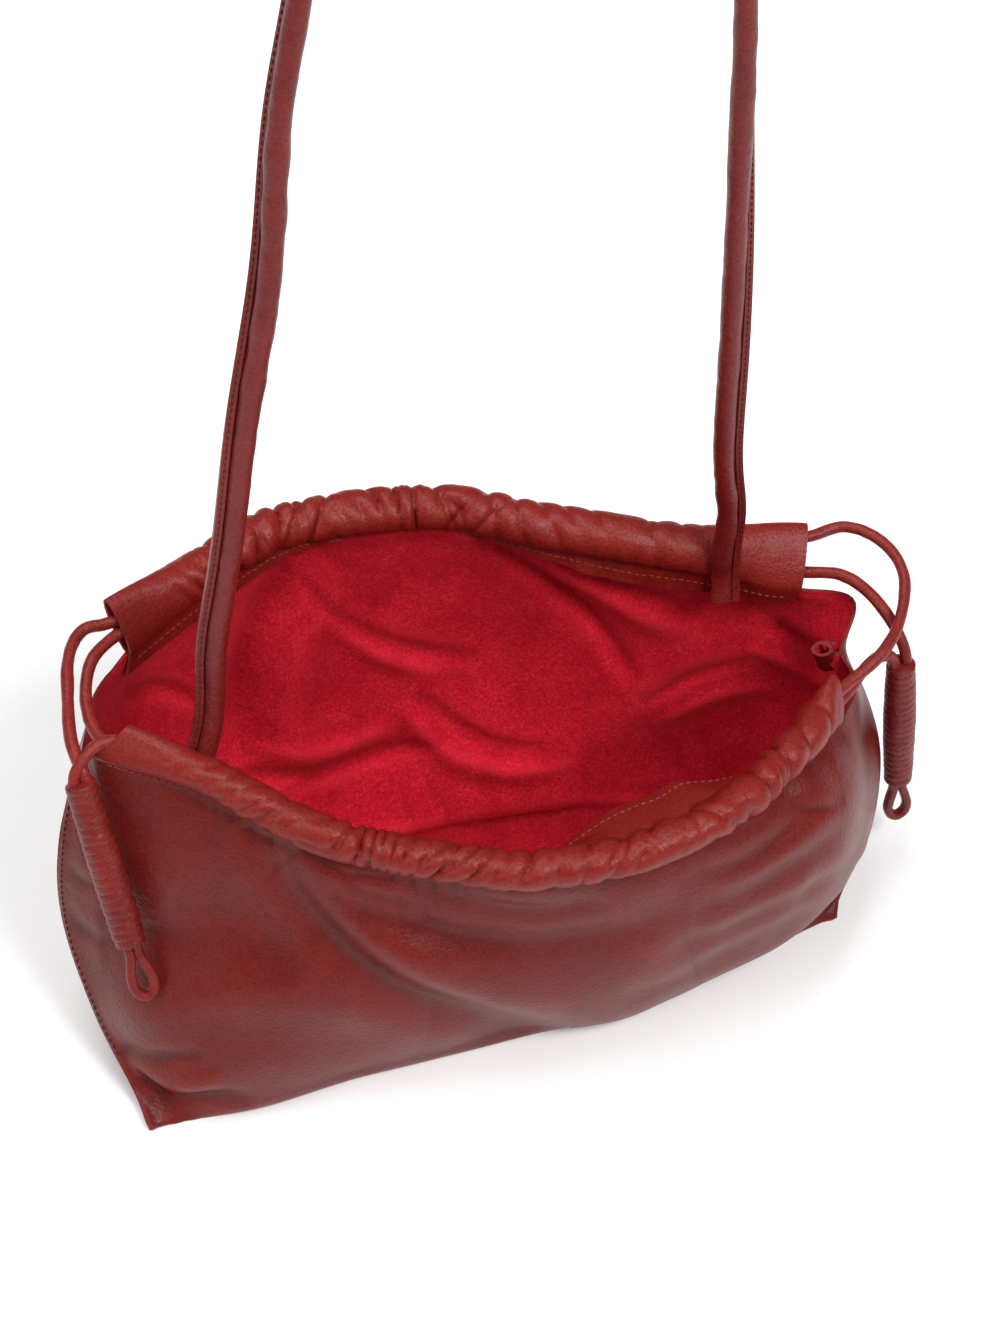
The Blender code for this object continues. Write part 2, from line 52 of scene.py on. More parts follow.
# Leather, seams and casings
LEATHER = 0.0013
GAP = 0.0004
ALLOWANCE = 0.007
CASING_FLAT_HEIGHT = 0.027
CASING_ROLL = 0.0170

# Cords, toggles and strap
CORD_DIAMETER = 0.005
TOGGLE_DIAMETER = 0.0135
TOGGLE_LENGTH = 0.074
LOOP_LENGTH = 0.026
LOOP_WIDTH = 0.0125
LOOP_CORD_WIDTH = 0.0046
LOOP_CORD_THICKNESS = 0.0028
STRAP_DIAMETER = 0.0086
STRAP_FLANGE = 0.0034
STRAP_TAIL = 0.012
STRAP_CLEAR_RISE = 0.020
STRAP_TAIL_THICKNESS = 0.0045
FLANGE_TURN = 70

# Thread
STITCH_PITCH = 0.0031
STITCH_LENGTH = 0.0024
THREAD = 0.0006

# Mesh fineness
CASING_COLUMNS = 290
SIDE_COLUMNS = 15
CASING_FACETS = 34
FLAP_ROWS = 4
ROW_STEPS = (5, 6, 14, 22, 22, 26)
CORD_STATIONS = 27

# The camera: what it looks at, its angles in degrees, distance and lens
VIEW_TARGET = (0.032, 0.093, 0.080)
VIEW_AZIMUTH = -15
VIEW_ELEVATION = 50
VIEW_DISTANCE = 1.35
VIEW_LENS = 85
VIEW_FILM = 36
PHOTO_WIDTH = 1000
PHOTO_HEIGHT = 1334

# The bag's guide points: x as a share of half the width, y of the depth, z of the height.
# Both panels end on the same two side seams, which run up from the base's corners.
LEFT_SEAM = [(-0.885, -0.250, 0), (-0.887, -0.248, 0.012), (-0.90, -0.175, 0.055), (-0.955, -0.03, 0.20),
             (-0.985, 0.10, 0.42), (-0.955, 0.145, 0.67), (-0.87, 0.225, 0.86)]
RIGHT_SEAM = [(0.88, -0.091, 0), (0.883, -0.089, 0.012), (0.91, -0.045, 0.055), (0.99, 0.015, 0.19),
              (1.02, 0.085, 0.39), (0.99, 0.155, 0.56), (0.93, 0.185, 0.69)]

# The rows between the side seams, from the seam under the base upwards
BASE_SEAM = [(-0.72, -0.226, 0), (-0.40, -0.200, 0), (0.0, -0.175, 0), (0.40, -0.145, 0), (0.70, -0.100, 0)]
FRONT_ROWS = [
    BASE_SEAM,
    [(-0.79, -0.253, 0), (-0.35, -0.238, 0), (0.06, -0.227, 0), (0.38, -0.205, 0), (0.72, -0.13, 0)],
    [(-0.73, -0.262, 0.05), (-0.35, -0.262, 0.06), (0.06, -0.256, 0.06), (0.35, -0.245, 0.06),
     (0.64, -0.19, 0.06)],
    [(-0.79, -0.225, 0.21), (-0.36, -0.290, 0.22), (0.07, -0.302, 0.21), (0.42, -0.295, 0.20),
     (0.76, -0.215, 0.19)],
    [(-0.83, -0.095, 0.43), (-0.42, -0.262, 0.44), (0.05, -0.325, 0.43), (0.43, -0.335, 0.41),
     (0.80, -0.230, 0.40)],
    [(-0.82, 0.01, 0.69), (-0.44, -0.195, 0.66), (0.03, -0.312, 0.62), (0.43, -0.335, 0.60),
     (0.81, -0.205, 0.60)],
]
BACK_ROWS = [
    BASE_SEAM,
    [(-0.80, 0.06, 0), (-0.50, 0.27, 0), (0.0, 0.35, 0), (0.45, 0.30, 0), (0.74, 0.13, 0)],
    [(-0.845, 0.08, 0.05), (-0.53, 0.325, 0.06), (0.0, 0.415, 0.06), (0.47, 0.355, 0.06),
     (0.79, 0.15, 0.05)],
    [(-0.90, 0.15, 0.20), (-0.60, 0.40, 0.20), (0.0, 0.51, 0.20), (0.50, 0.445, 0.20), (0.89, 0.20, 0.20)],
    [(-0.92, 0.25, 0.42), (-0.60, 0.49, 0.42), (0.0, 0.59, 0.42), (0.47, 0.50, 0.42), (0.90, 0.30, 0.40)],
    [(-0.88, 0.32, 0.68), (-0.55, 0.56, 0.68), (0.0, 0.635, 0.68), (0.44, 0.51, 0.66), (0.89, 0.36, 0.60)],
]
# Where each panel's top edge passes between a side seam and its casing, left and right
FRONT_CORNERS = [(-0.86, 0.16, 0.875), (0.93, 0.08, 0.70)]
BACK_CORNERS = [(-0.81, 0.36, 0.895), (1.0, 0.30, 0.735)]

# The middle line of each casing, and how far its upright axis leans outwards along it, in degrees
FRONT_CASING = [(-0.79, 0.13, 0.96), (-0.62, 0.02, 0.93), (-0.465, -0.108, 0.872), (-0.23, -0.233, 0.826),
                (0.02, -0.318, 0.802), (0.28, -0.335, 0.802), (0.51, -0.273, 0.808), (0.64, -0.182, 0.796),
                (0.845, -0.006, 0.767)]
FRONT_LEAN = [-38, -30, -18, -8, 0, 2, 0, -4, -14]
BACK_CASING = [(-0.74, 0.438, 1.0), (-0.53, 0.557, 1.0), (-0.345, 0.642, 1.0), (-0.13, 0.665, 0.98),
               (0.10, 0.628, 0.972), (0.29, 0.556, 0.935), (0.42, 0.510, 0.915), (0.695, 0.428, 0.868),
               (0.895, 0.386, 0.830)]
BACK_LEAN = [24, 16, 8, 4, 8, 16, 24, 36, 44]

# Cord routes outside the casings, in the same shares, each from one casing end to the next piece
LEFT_TOGGLE_TOP = (-0.897, 0.085, 0.925)
LEFT_TOGGLE_END = (-0.850, -0.104, 0.53)
RIGHT_TOGGLE_TOP = (1.058, 0.118, 0.69)
RIGHT_TOGGLE_END = (1.085, 0.095, 0.26)
LEFT_LOOP = [(-0.815, 0.380, 0.985), (-0.835, 0.325, 0.970), (-0.850, 0.245, 0.955), (-0.835, 0.180, 0.945)]
LEFT_OUTER = [(-0.80, 0.47, 1.0), (-0.857, 0.40, 1.004), (-0.878, 0.31, 0.985), (-0.892, 0.22, 0.975),
              (-0.900, 0.145, 0.965)]
LEFT_INNER = [(-0.845, 0.142, 0.984), (-0.878, 0.112, 0.965)]
RIGHT_OUTER = [(0.975, 0.435, 0.862), (1.065, 0.375, 0.868), (1.105, 0.275, 0.850), (1.065, 0.165, 0.815),
               (0.965, 0.055, 0.803)]
RIGHT_BACK = [(0.955, 0.335, 0.815), (1.02, 0.26, 0.80), (1.055, 0.175, 0.765)]
RIGHT_FRONT = [(0.90, 0.034, 0.746), (0.975, 0.10, 0.76), (1.03, 0.115, 0.745)]

# The strap's middle line above its two sewn ends, with z as a share of its rise above the bag
STRAP_SIDE_LEFT = [(-0.562, 0.131, 0.085), (-0.509, 0.142, 0.185), (-0.445, 0.153, 0.335),
                   (-0.375, 0.165, 0.471)]
STRAP_ARCH = [(-0.324, 0.188, 0.63), (-0.277, 0.199, 0.71), (-0.20, 0.210, 0.86), (0.0, 0.225, 0.975),
              (0.22, 0.235, 0.99), (0.44, 0.250, 0.90), (0.56, 0.265, 0.76)]
STRAP_SIDE_RIGHT = [(0.602, 0.275, 0.62), (0.620, 0.290, 0.45), (0.638, 0.309, 0.24), (0.645, 0.316, 0.111)]
STRAP_LEFT_AT = 0.09
STRAP_RIGHT_AT = 0.890
# How far each point of the strap's right end moves back along the casing, so that it hangs straight
STRAP_STRAIGHTENED = (0, 0.0005, 0.0025, 0.0045, 0.0060)


# The folds that the photograph shows: height in millimetres (out of the bag above 0, into it below 0),
# half width in pixels, and the route in the photograph's pixels
FRONT_FOLDS = [
    (-7.0, 21, [(250, 822), (285, 880), (330, 935), (395, 985), (470, 1015), (570, 1028)]),
    (7.0, 36, [(290, 860), (340, 912), (410, 955), (490, 985), (590, 990), (690, 955)]),
    (-3.6, 15, [(290, 850), (340, 892), (410, 922), (500, 936), (600, 932), (690, 905)]),
    (2.2, 14, [(400, 900), (470, 925), (560, 928), (640, 905)]),
    (-1.8, 8, [(425, 888), (480, 903), (545, 908), (605, 897)]),
    (4.0, 30, [(90, 1015), (170, 1003), (250, 992), (340, 1005), (430, 1025)]),
    (-4.0, 44, [(100, 930), (180, 925), (250, 925), (310, 965)]),
    (2.0, 26, [(185, 800), (175, 860), (150, 930)]),
    (-1.8, 10, [(690, 912), (745, 893), (800, 862), (850, 822)]),
    (1.4, 13, [(680, 930), (750, 908), (820, 872), (862, 838)]),
    (-1.2, 9, [(655, 952), (730, 926), (800, 893), (866, 856)]),
    (1.5, 14, [(650, 972), (730, 945), (800, 912), (855, 880)]),
    (-1.6, 9, [(620, 992), (700, 965), (780, 928), (842, 896)]),
    (-1.1, 8, [(690, 872), (725, 866), (765, 845), (800, 815)]),
    (0.9, 9, [(700, 890), (750, 872), (800, 838), (835, 800)]),
    (-1.4, 7, [(785, 800), (815, 810), (845, 800)]),
    (-1.2, 5, [(300, 852), (345, 872), (395, 882)]),
    (-1.1, 5, [(335, 872), (385, 897), (430, 908)]),
    (-2.4, 8, [(138, 1072), (158, 1090), (168, 1116)]),
    (-2.6, 8, [(160, 1102), (205, 1096), (255, 1100)]),
    (3.5, 9, [(128, 1052), (175, 1078), (225, 1080)]),
    (-2.2, 7, [(118, 1048), (160, 1056), (205, 1052)]),
    (-1.2, 7, [(62, 900), (80, 925), (112, 945)]),
    (-1.0, 6, [(64, 860), (86, 880), (108, 885)]),
]
BACK_FOLDS = [
    (-11.0, 60, [(740, 585), (650, 662), (565, 730), (440, 800)]),
    (9.0, 46, [(820, 650), (750, 712), (670, 765), (560, 820)]),
    (6.0, 15, [(290, 562), (252, 625), (238, 700), (245, 760)]),
    (-6.0, 24, [(335, 560), (295, 640), (285, 720), (305, 780)]),
    (4.5, 10, [(495, 545), (545, 582), (600, 622), (640, 668)]),
    (-4.5, 13, [(520, 540), (585, 578), (640, 602), (700, 622)]),
    (3.4, 9, [(560, 556), (620, 582), (690, 596)]),
    (3.6, 9, [(300, 575), (345, 620), (420, 650), (480, 655)]),
    (-3.2, 11, [(320, 600), (370, 645), (440, 672)]),
    (3.8, 9, [(415, 690), (455, 722), (500, 740), (545, 738)]),
    (-3.8, 11, [(395, 700), (440, 745), (500, 765), (570, 758)]),
    (4.0, 9, [(235, 772), (310, 772), (385, 750), (440, 742)]),
    (-3.6, 11, [(245, 745), (320, 748), (400, 720)]),
    (3.0, 9, [(640, 690), (690, 668), (750, 660)]),
    (-3.0, 10, [(650, 720), (710, 696), (780, 690)]),
    (3.2, 8, [(125, 700), (165, 690), (205, 702)]),
    (3.6, 9, [(760, 618), (800, 640), (838, 660)]),
    (-3.4, 9, [(745, 642), (790, 664), (830, 686)]),
]

# How the front casing's left end is pulled askew: back along the casing and up at its lower edge, and down
SKEW_BACK = 0.009
SKEW_UP = 0.009
SKEW_DOWN = 0.004
SKEW_REACH = 0.20
SKEW_DROP = 0.05

# How far each hem flap stands out into the pouch along its casing, in degrees, and how wide it is
FRONT_FLAP_TURN = [14, 14, 16, 18, 30, 60, 75, 65, 25]
BACK_FLAP_TURN = [14, 14, 12, 12, 16, 24, 20, 14, 12]
SHOWN_FLAP = 0.0085
FRONT_FLAP_WIDTH = [1, 1, 1, 1, 1, 1.1, 1.1, 1, 1]
BACK_FLAP_WIDTH = [1, 1.3, 0.9, 0.25, 0.2, 0.5, 1.2, 1.2, 1.1]

# How strongly each casing is gathered along it, its gathers' spacing and how deep they go
FRONT_GATHER = [0.35, 0.5, 0.8, 0.85, 0.9, 1, 1.05, 0.9, 0.7]
BACK_GATHER = [0.5, 0.9, 1.1, 1.1, 1, 0.6, 0.5, 0.45, 0.4]
FRONT_PITCH = [0.012, 0.0085, 0.0075, 0.008, 0.0095, 0.013, 0.015, 0.015, 0.013]
BACK_PITCH = [0.012, 0.010, 0.0095, 0.0105, 0.011, 0.014, 0.015, 0.015, 0.014]
FINE_PITCH = 0.0043
GATHER_DEPTH = 0.0034
GATHER_SWELL = 0.0007
CREASE_DEPTH = 0.9

# The deepest creases across each casing: place along it, half width in metres, slant in metres a radian
FRONT_CREASES = [(0.20, 0.0022, 0.003), (0.30, 0.0018, -0.003), (0.415, 0.0016, 0.0035),
                 (0.62, 0.002, 0.004), (0.735, 0.0024, -0.0045), (0.86, 0.002, 0.003)]
BACK_CREASES = [(0.17, 0.002, 0.003), (0.30, 0.0022, -0.0045), (0.335, 0.0018, -0.004),
                (0.49, 0.0022, 0.0035), (0.545, 0.0026, -0.005), (0.585, 0.002, -0.0055),
                (0.78, 0.002, 0.002)]

# How far the front casing has rolled open along it, from 0 to 1, and from which share of its roll
FRONT_OPEN = [0, 0, 0, 0, 0.1, 0.95, 1, 0.25, 0]
OPEN_FROM = 0.70

# The share of each casing, left and right, over which its flat end is drawn into the roll
FRONT_FLAT = (0.14, 0.05)
BACK_FLAT = (0.14, 0.17)
# How far the two cords lie apart in the open sleeve, and how far the roll hangs over the wall
CORD_SPREAD = 0.0045
OVERHANG = 0.0026

# The heights between which the left side is topstitched, and the reach of each base corner's tab
SIDE_STITCH_LOW = 0.02
SIDE_STITCH_HIGH = 0.13
CORNER_TAB = 0.016

# The curled top of the right side seam: its place from the seam's top, turns, radii, depth and lean
CURL_AWAY = (-0.0075, 0.001, 0.003)
CURL_LEAD = (-0.001, 0.004, 0.002)
CURL_START = 0.6
CURL_TURNS = 1.15
CURL_WIDE = 0.0042
CURL_TIGHT = 0.0021
CURL_FALL = (0.004, 0.001, -0.012)

# The turns of each winding, the width of its loop's strand, how far the cord ends reach into it, and the
# step between the points along a cord
WIND_TURNS = 20
LOOP_STRAND = 0.0040
CORD_IN = 0.004
CORD_STEP = 0.0015


def make_camera():
    """The camera at the photograph's angle."""
    az, el = math.radians(VIEW_AZIMUTH), math.radians(VIEW_ELEVATION)
    back = Vector((math.sin(az) * math.cos(el), -math.cos(az) * math.cos(el), math.sin(el)))
    data = bpy.data.cameras.new("camera")
    data.lens = VIEW_LENS
    data.sensor_width = VIEW_FILM
    data.clip_start = 0.05
    data.clip_end = 50
    made = bpy.data.objects.new("camera", data)
    made.location = Vector(VIEW_TARGET) + back * VIEW_DISTANCE
    made.rotation_mode = "QUATERNION"
    made.rotation_quaternion = (-back).to_track_quat("-Z", "Y")
    bpy.context.scene.collection.objects.link(made)
    bpy.context.scene.camera = made


def photo_pixels(points):
    """The photograph's pixel at which each point shows."""
    az, el = math.radians(VIEW_AZIMUTH), math.radians(VIEW_ELEVATION)
    back = np.array([math.sin(az) * math.cos(el), -math.cos(az) * math.cos(el), math.sin(el)])
    right = np.array([math.cos(az), math.sin(az), 0])
    up = np.cross(back, right)
    away = points - (np.array(VIEW_TARGET) + back * VIEW_DISTANCE)
    scale = VIEW_LENS / VIEW_FILM * PHOTO_HEIGHT / -(away @ back)
    return np.stack([PHOTO_WIDTH / 2 + away @ right * scale, PHOTO_HEIGHT / 2 - away @ up * scale], axis=-1)


def at(share):
    """A guide point in metres."""
    return np.array([share[0] * BAG_WIDTH / 2, share[1] * BAG_DEPTH, share[2] * BAG_HEIGHT])


def along(points):
    """The share of the whole length at each point."""
    steps = np.linalg.norm(np.diff(points, axis=0), axis=1)
    total = np.concatenate([[0.0], np.cumsum(steps)])
    return total / total[-1]


def smooth(points, places):
    """A smooth curve through the points, read at places from 0 to 1 along it."""
    points = np.asarray(points, float)
    if points.ndim == 1:
        points = points[:, None]
    knots = along(points) if points.shape[1] == 3 else np.linspace(0, 1, len(points))
    slopes = np.gradient(points, knots, axis=0)
    places = np.clip(np.atleast_1d(places), 0, 1)
    i = np.clip(np.searchsorted(knots, places, side="right") - 1, 0, len(knots) - 2)
    width = (knots[i + 1] - knots[i])[:, None]
    t = ((places - knots[i]) / (knots[i + 1] - knots[i]))[:, None]
    return (
        (2 * t**3 - 3 * t**2 + 1) * points[i]
        + (t**3 - 2 * t**2 + t) * width * slopes[i]
        + (3 * t**2 - 2 * t**3) * points[i + 1]
        + (t**3 - t**2) * width * slopes[i + 1]
    )


def unit(v):
    return v / np.maximum(np.linalg.norm(v, axis=-1, keepdims=True), 1e-12)


def ease(x):
    """0 below 0, 1 above 1, and smooth between."""
    x = np.clip(x, 0, 1)
    return x * x * (3 - 2 * x)


def cloud(points, size, seed):
    """Smooth noise from -1 to 1 with features of about size metres, the same on each run."""
    table = np.random.default_rng(seed).uniform(-1, 1, (32, 32, 32))
    p = np.asarray(points, float) / size + 1000
    cell = np.floor(p).astype(int)
    part = p - cell
    part = part * part * (3 - 2 * part)
    total = 0
    for dx in (0, 1):
        for dy in (0, 1):
            for dz in (0, 1):
                weight = (
                    (part[..., 0] if dx else 1 - part[..., 0])
                    * (part[..., 1] if dy else 1 - part[..., 1])
                    * (part[..., 2] if dz else 1 - part[..., 2])
                )
                corner = table[(cell[..., 0] + dx) % 32, (cell[..., 1] + dy) % 32, (cell[..., 2] + dz) % 32]
                total = total + weight * corner
    return total * 1.4


def wander(run, size, seed, level=0):
    """Smooth noise along a line."""
    return cloud(np.stack([run, run * 0 + level, run * 0], -1), size, seed)


def mesh_object(name, points, faces, finishes, face_finish=None, sharp=50):
    """A smooth-shaded piece from points and faces, riding on the pouch."""
    mesh = bpy.data.meshes.new(name)
    mesh.from_pydata(np.asarray(points).tolist(), [], [tuple(int(i) for i in f) for f in faces])
    for finish in finishes:
        mesh.materials.append(finish)
    if face_finish is not None:
        mesh.polygons.foreach_set("material_index", np.asarray(face_finish, np.int32))
    mesh.shade_smooth()
    mesh.set_sharp_from_angle(angle=math.radians(sharp))
    made = bpy.data.objects.new(name, mesh)
    bpy.context.scene.collection.objects.link(made)
    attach(made, "root")
    return made


def signed_volume(points, faces):
    total = 0.0
    for face in faces:
        for i in range(1, len(face) - 1):
            a, b, c = points[face[0]], points[face[i]], points[face[i + 1]]
            total += float(np.dot(a, np.cross(b, c)))
    return total


def tube_faces(points, rings, sides):
    """The faces of a closed tube that is made of rings of points, turned outwards."""
    faces = []
    for i in range(rings - 1):
        for k in range(sides):
            a, b = i * sides + k, i * sides + (k + 1) % sides
            faces.append((a, b, b + sides, a + sides))
    last = (rings - 1) * sides
    faces.append(tuple(reversed(range(sides))))
    faces.append(tuple(range(last, last + sides)))
    if signed_volume(points, faces) < 0:
        faces = [tuple(reversed(f)) for f in faces]
    return faces


class Shader:
    """A node material under construction, on a Principled shader."""

    def __init__(self, name, roughness, sheen=0.0, sheen_roughness=0.5, coat=0.0, coat_roughness=0.3,
                 specular=0.5):
        self.material = bpy.data.materials.new(name)
        self.material.use_nodes = True
        self.tree = self.material.node_tree
        self.shader = self.tree.nodes["Principled BSDF"]
        self.shader.inputs["Roughness"].default_value = roughness
        self.shader.inputs["Sheen Weight"].default_value = sheen
        self.shader.inputs["Sheen Roughness"].default_value = sheen_roughness
        self.shader.inputs["Coat Weight"].default_value = coat
        self.shader.inputs["Coat Roughness"].default_value = coat_roughness
        self.shader.inputs["Specular IOR Level"].default_value = specular
        self.place = self.tree.nodes.new("ShaderNodeTexCoord").outputs["Object"]

    def node(self, kind, values=None, links=None, **settings):
        made = self.tree.nodes.new(kind)
        for key, value in settings.items():
            setattr(made, key, value)
        for key, value in (values or {}).items():
            made.inputs[key].default_value = value
        for key, source in (links or {}).items():
            self.tree.links.new(source, made.inputs[key])
        return made

    def noise(self, size, detail=3.0, rough=0.5, distortion=0.0):
        """Noise with features of about size metres."""
        made = self.node("ShaderNodeTexNoise", {"Scale": 1 / size, "Detail": detail, "Roughness": rough,
                                                "Distortion": distortion}, {"Vector": self.place})
        return made.outputs["Fac"]

    def cells(self, size, feature="F1", randomness=1.0):
        made = self.node("ShaderNodeTexVoronoi", {"Scale": 1 / size, "Randomness": randomness},
                         {"Vector": self.place}, feature=feature)
        return made.outputs["Distance"]

    def ramp(self, source, stops):
        made = self.node("ShaderNodeValToRGB", links={"Fac": source})
        elements = made.color_ramp.elements
        while len(elements) < len(stops):
            elements.new(0.5)
        for element, (place, colour) in zip(elements, stops):
            element.position = place
            element.color = (*colour, 1)
        return made.outputs["Color"]

    def math(self, operation, a, b):
        made = self.tree.nodes.new("ShaderNodeMath")
        made.operation = operation
        for socket, value in zip(made.inputs, (a, b)):
            if isinstance(value, (int, float)):
                socket.default_value = value
            else:
                self.tree.links.new(value, socket)
        return made.outputs[0]

    def blend(self, a, share_a, b, share_b):
        """Two values, each times its share, added up."""
        return self.math("ADD", self.math("MULTIPLY", a, share_a), self.math("MULTIPLY", b, share_b))

    def creases(self, share):
        """How deep the surface lies in a crease, from 0 to the share."""
        inward = self.math("MULTIPLY", self.attribute("fold"), -1.0)
        return self.math("MULTIPLY", self.math("MAXIMUM", inward, 0.0), share)

    def ridges(self, share):
        """How far the surface stands out on a ridge, from 0 to the share."""
        return self.math("MULTIPLY", self.math("MAXIMUM", self.attribute("fold"), 0.0), share)

    def mix(self, share, a, b, kind="MIX"):
        made = self.tree.nodes.new("ShaderNodeMix")
        made.data_type = "RGBA"
        made.blend_type = kind
        for name, value in (("Factor", share), ("A", a), ("B", b)):
            socket = [s for s in made.inputs if s.name == name and s.type in ("RGBA", "VALUE")][
                0 if name == "Factor" else -1]
            if isinstance(value, (int, float)):
                socket.default_value = value
            elif isinstance(value, tuple):
                socket.default_value = (*value, 1)
            else:
                self.tree.links.new(value, socket)
        return [s for s in made.outputs if s.type == "RGBA"][0]

    def attribute(self, name):
        return self.node("ShaderNodeAttribute", attribute_name=name).outputs["Fac"]

    def bump(self, height, distance, strength, before=None):
        links = {"Height": height}
        if before is not None:
            links["Normal"] = before
        made = self.node("ShaderNodeBump", {"Distance": distance, "Strength": strength}, links)
        return made.outputs["Normal"]

    def finish(self, colour=None, roughness=None, normal=None):
        for name, source in (("Base Color", colour), ("Roughness", roughness), ("Normal", normal)):
            if source is not None:
                self.tree.links.new(source, self.shader.inputs[name])
        return self.material


def grain_leather(name, dark, middle, light, roughness=0.35):
    """Soft nappa: fine uneven pebble grain, slight mottling, paler ridges, painted shade in creases, painted
    light on the roll.
    """
    m = Shader(name, roughness, coat=0.05, coat_roughness=0.30, specular=0.20)
    mottle = m.blend(m.noise(0.035, 4), 0.6, m.noise(0.006, 3), 0.4)
    base = m.ramp(mottle, [(0.30, dark), (0.52, middle), (0.74, light)])
    # Painted light: the casing's roll faces up to the lamps, so it is lightened towards a paler red
    rolled = (light[0] * 1.50, light[1] * 1.25, light[2] * 1.5)
    base = m.mix(m.math("MULTIPLY", m.attribute("roll"), 0.6), base, rolled)
    # Painted shade: the leather is darkened in creases as though they lay in shadow
    crease_shaded = m.mix(m.creases(0.60), base, tuple(c * 0.30 for c in dark))
    # Paler on the ridges of folds
    ridges_paled = m.mix(m.ridges(0.30), crease_shaded, tuple(min(1, c * 1.5) for c in light))
    height = m.blend(m.noise(0.00115, 3, 0.62, 0.6), 0.8, m.cells(0.0016), 0.35)
    normal = m.bump(m.noise(0.004, 3), 0.0012, 0.25)
    normal = m.bump(height, 0.00042, 0.8, normal)
    grain = m.ramp(height, [(0.38, (0.55, 0.52, 0.52)), (0.62, (1.12, 1.15, 1.15))])
    rough = m.math("ADD", m.math("MULTIPLY", m.noise(0.012, 3), 0.16), roughness - 0.08)
    return m.finish(m.mix(0.6, ridges_paled, grain, "MULTIPLY"), rough, normal)


def suede(name):
    """The flesh side: matt, velvety, with clouds where the nap lies differently, a fine fibre, painted shade
    in creases and painted highlight on ridges.
    """
    m = Shader(name, 0.92, sheen=0.16, sheen_roughness=0.45, specular=0.15)
    m.shader.inputs["Sheen Tint"].default_value = (1.0, 0.12, 0.15, 1)
    clouds = m.blend(m.noise(0.024, 4, 0.6, 0.4), 0.28, m.noise(0.0012, 4, 0.7, 0.9), 0.72)
    colour = m.ramp(clouds, [(0.30, (0.24, 0.0012, 0.007)), (0.50, (0.49, 0.0052, 0.019)),
                             (0.70, (0.84, 0.028, 0.052))])
    # Painted shade in the creases and painted highlight on the ridges
    colour = m.mix(m.creases(0.45), colour, (0.17, 0.0008, 0.004))
    colour = m.mix(m.ridges(0.30), colour, (0.86, 0.034, 0.060))
    fibre = m.blend(m.noise(0.0013, 5, 0.75), 0.7, m.noise(0.005, 3), 0.6)
    return m.finish(colour, None, m.bump(fibre, 0.0012, 0.7))


def cut_edge(name):
    """A raw cut edge: fibrous, dull and a little deeper than the grain side."""
    m = Shader(name, 0.85, sheen=0.1, specular=0.2)
    colour = m.ramp(m.noise(0.0008, 4, 0.7), [(0.35, (0.10, 0.010, 0.010)), (0.65, (0.24, 0.022, 0.024))])
    return m.finish(colour, None, m.bump(m.noise(0.0004, 3), 0.0004, 0.7))


def thread_finish(name, dark, light):
    """Twisted thread, tone on tone with the leather."""
    m = Shader(name, 0.6, specular=0.2)
    colour = m.ramp(m.noise(0.0009, 2), [(0.4, dark), (0.6, light)])
    return m.finish(colour, None, m.bump(m.noise(0.0003, 2), 0.0002, 0.6))


def make_stage():
    """A white floor that keeps the shadow, and soft light from above."""
    mesh = bpy.data.meshes.new("floor")
    reach = 1.8
    mesh.from_pydata([(-reach, -reach, 0), (reach, -reach, 0), (reach, reach, 0), (-reach, reach, 0)], [],
                     [(0, 1, 2, 3)])
    floor = bpy.data.objects.new("floor", mesh)
    bpy.context.scene.collection.objects.link(floor)
    m = Shader("floor_white", 0.9, specular=0.1)
    m.finish(m.ramp(m.noise(0.5, 1), [(0.3, (0.96, 0.96, 0.96)), (0.7, (0.97, 0.97, 0.97))]))
    mesh.materials.append(m.material)

    world = bpy.data.worlds.new("studio")
    bpy.context.scene.world = world
    world.use_nodes = True
    background = world.node_tree.nodes["Background"]
    background.inputs["Color"].default_value = (1.0, 1.0, 1.0, 1)
    seen = world.node_tree.nodes.new("ShaderNodeLightPath").outputs["Is Camera Ray"]
    level = world.node_tree.nodes.new("ShaderNodeMath")
    level.operation = "MAXIMUM"
    level.inputs[1].default_value = 0.29
    world.node_tree.links.new(seen, level.inputs[0])
    world.node_tree.links.new(level.outputs[0], background.inputs["Strength"])

    lamps = (
        ("lamp_key", (1.1, -1.7, 2.7), (0.0, 0.03, 0.08), 1.3, 1.1, 84.0),
        ("lamp_top", (-0.5, 0.4, 3.1), (0.0, 0.03, 0.1), 1.9, 1.5, 58.0),
        ("lamp_left", (-2.6, -1.1, 1.8), (0.0, 0.0, 0.1), 1.2, 1.2, 22.0),
    )
    for name, place, target, wide, high, watts in lamps:
        data = bpy.data.lights.new(name, "AREA")
        data.shape = "RECTANGLE"
        data.size = wide
        data.size_y = high
        data.energy = watts
        lamp = bpy.data.objects.new(name, data)
        lamp.location = place
        lamp.rotation_mode = "QUATERNION"
        lamp.rotation_quaternion = (Vector(target) - Vector(place)).to_track_quat("-Z", "Y")
        bpy.context.scene.collection.objects.link(lamp)


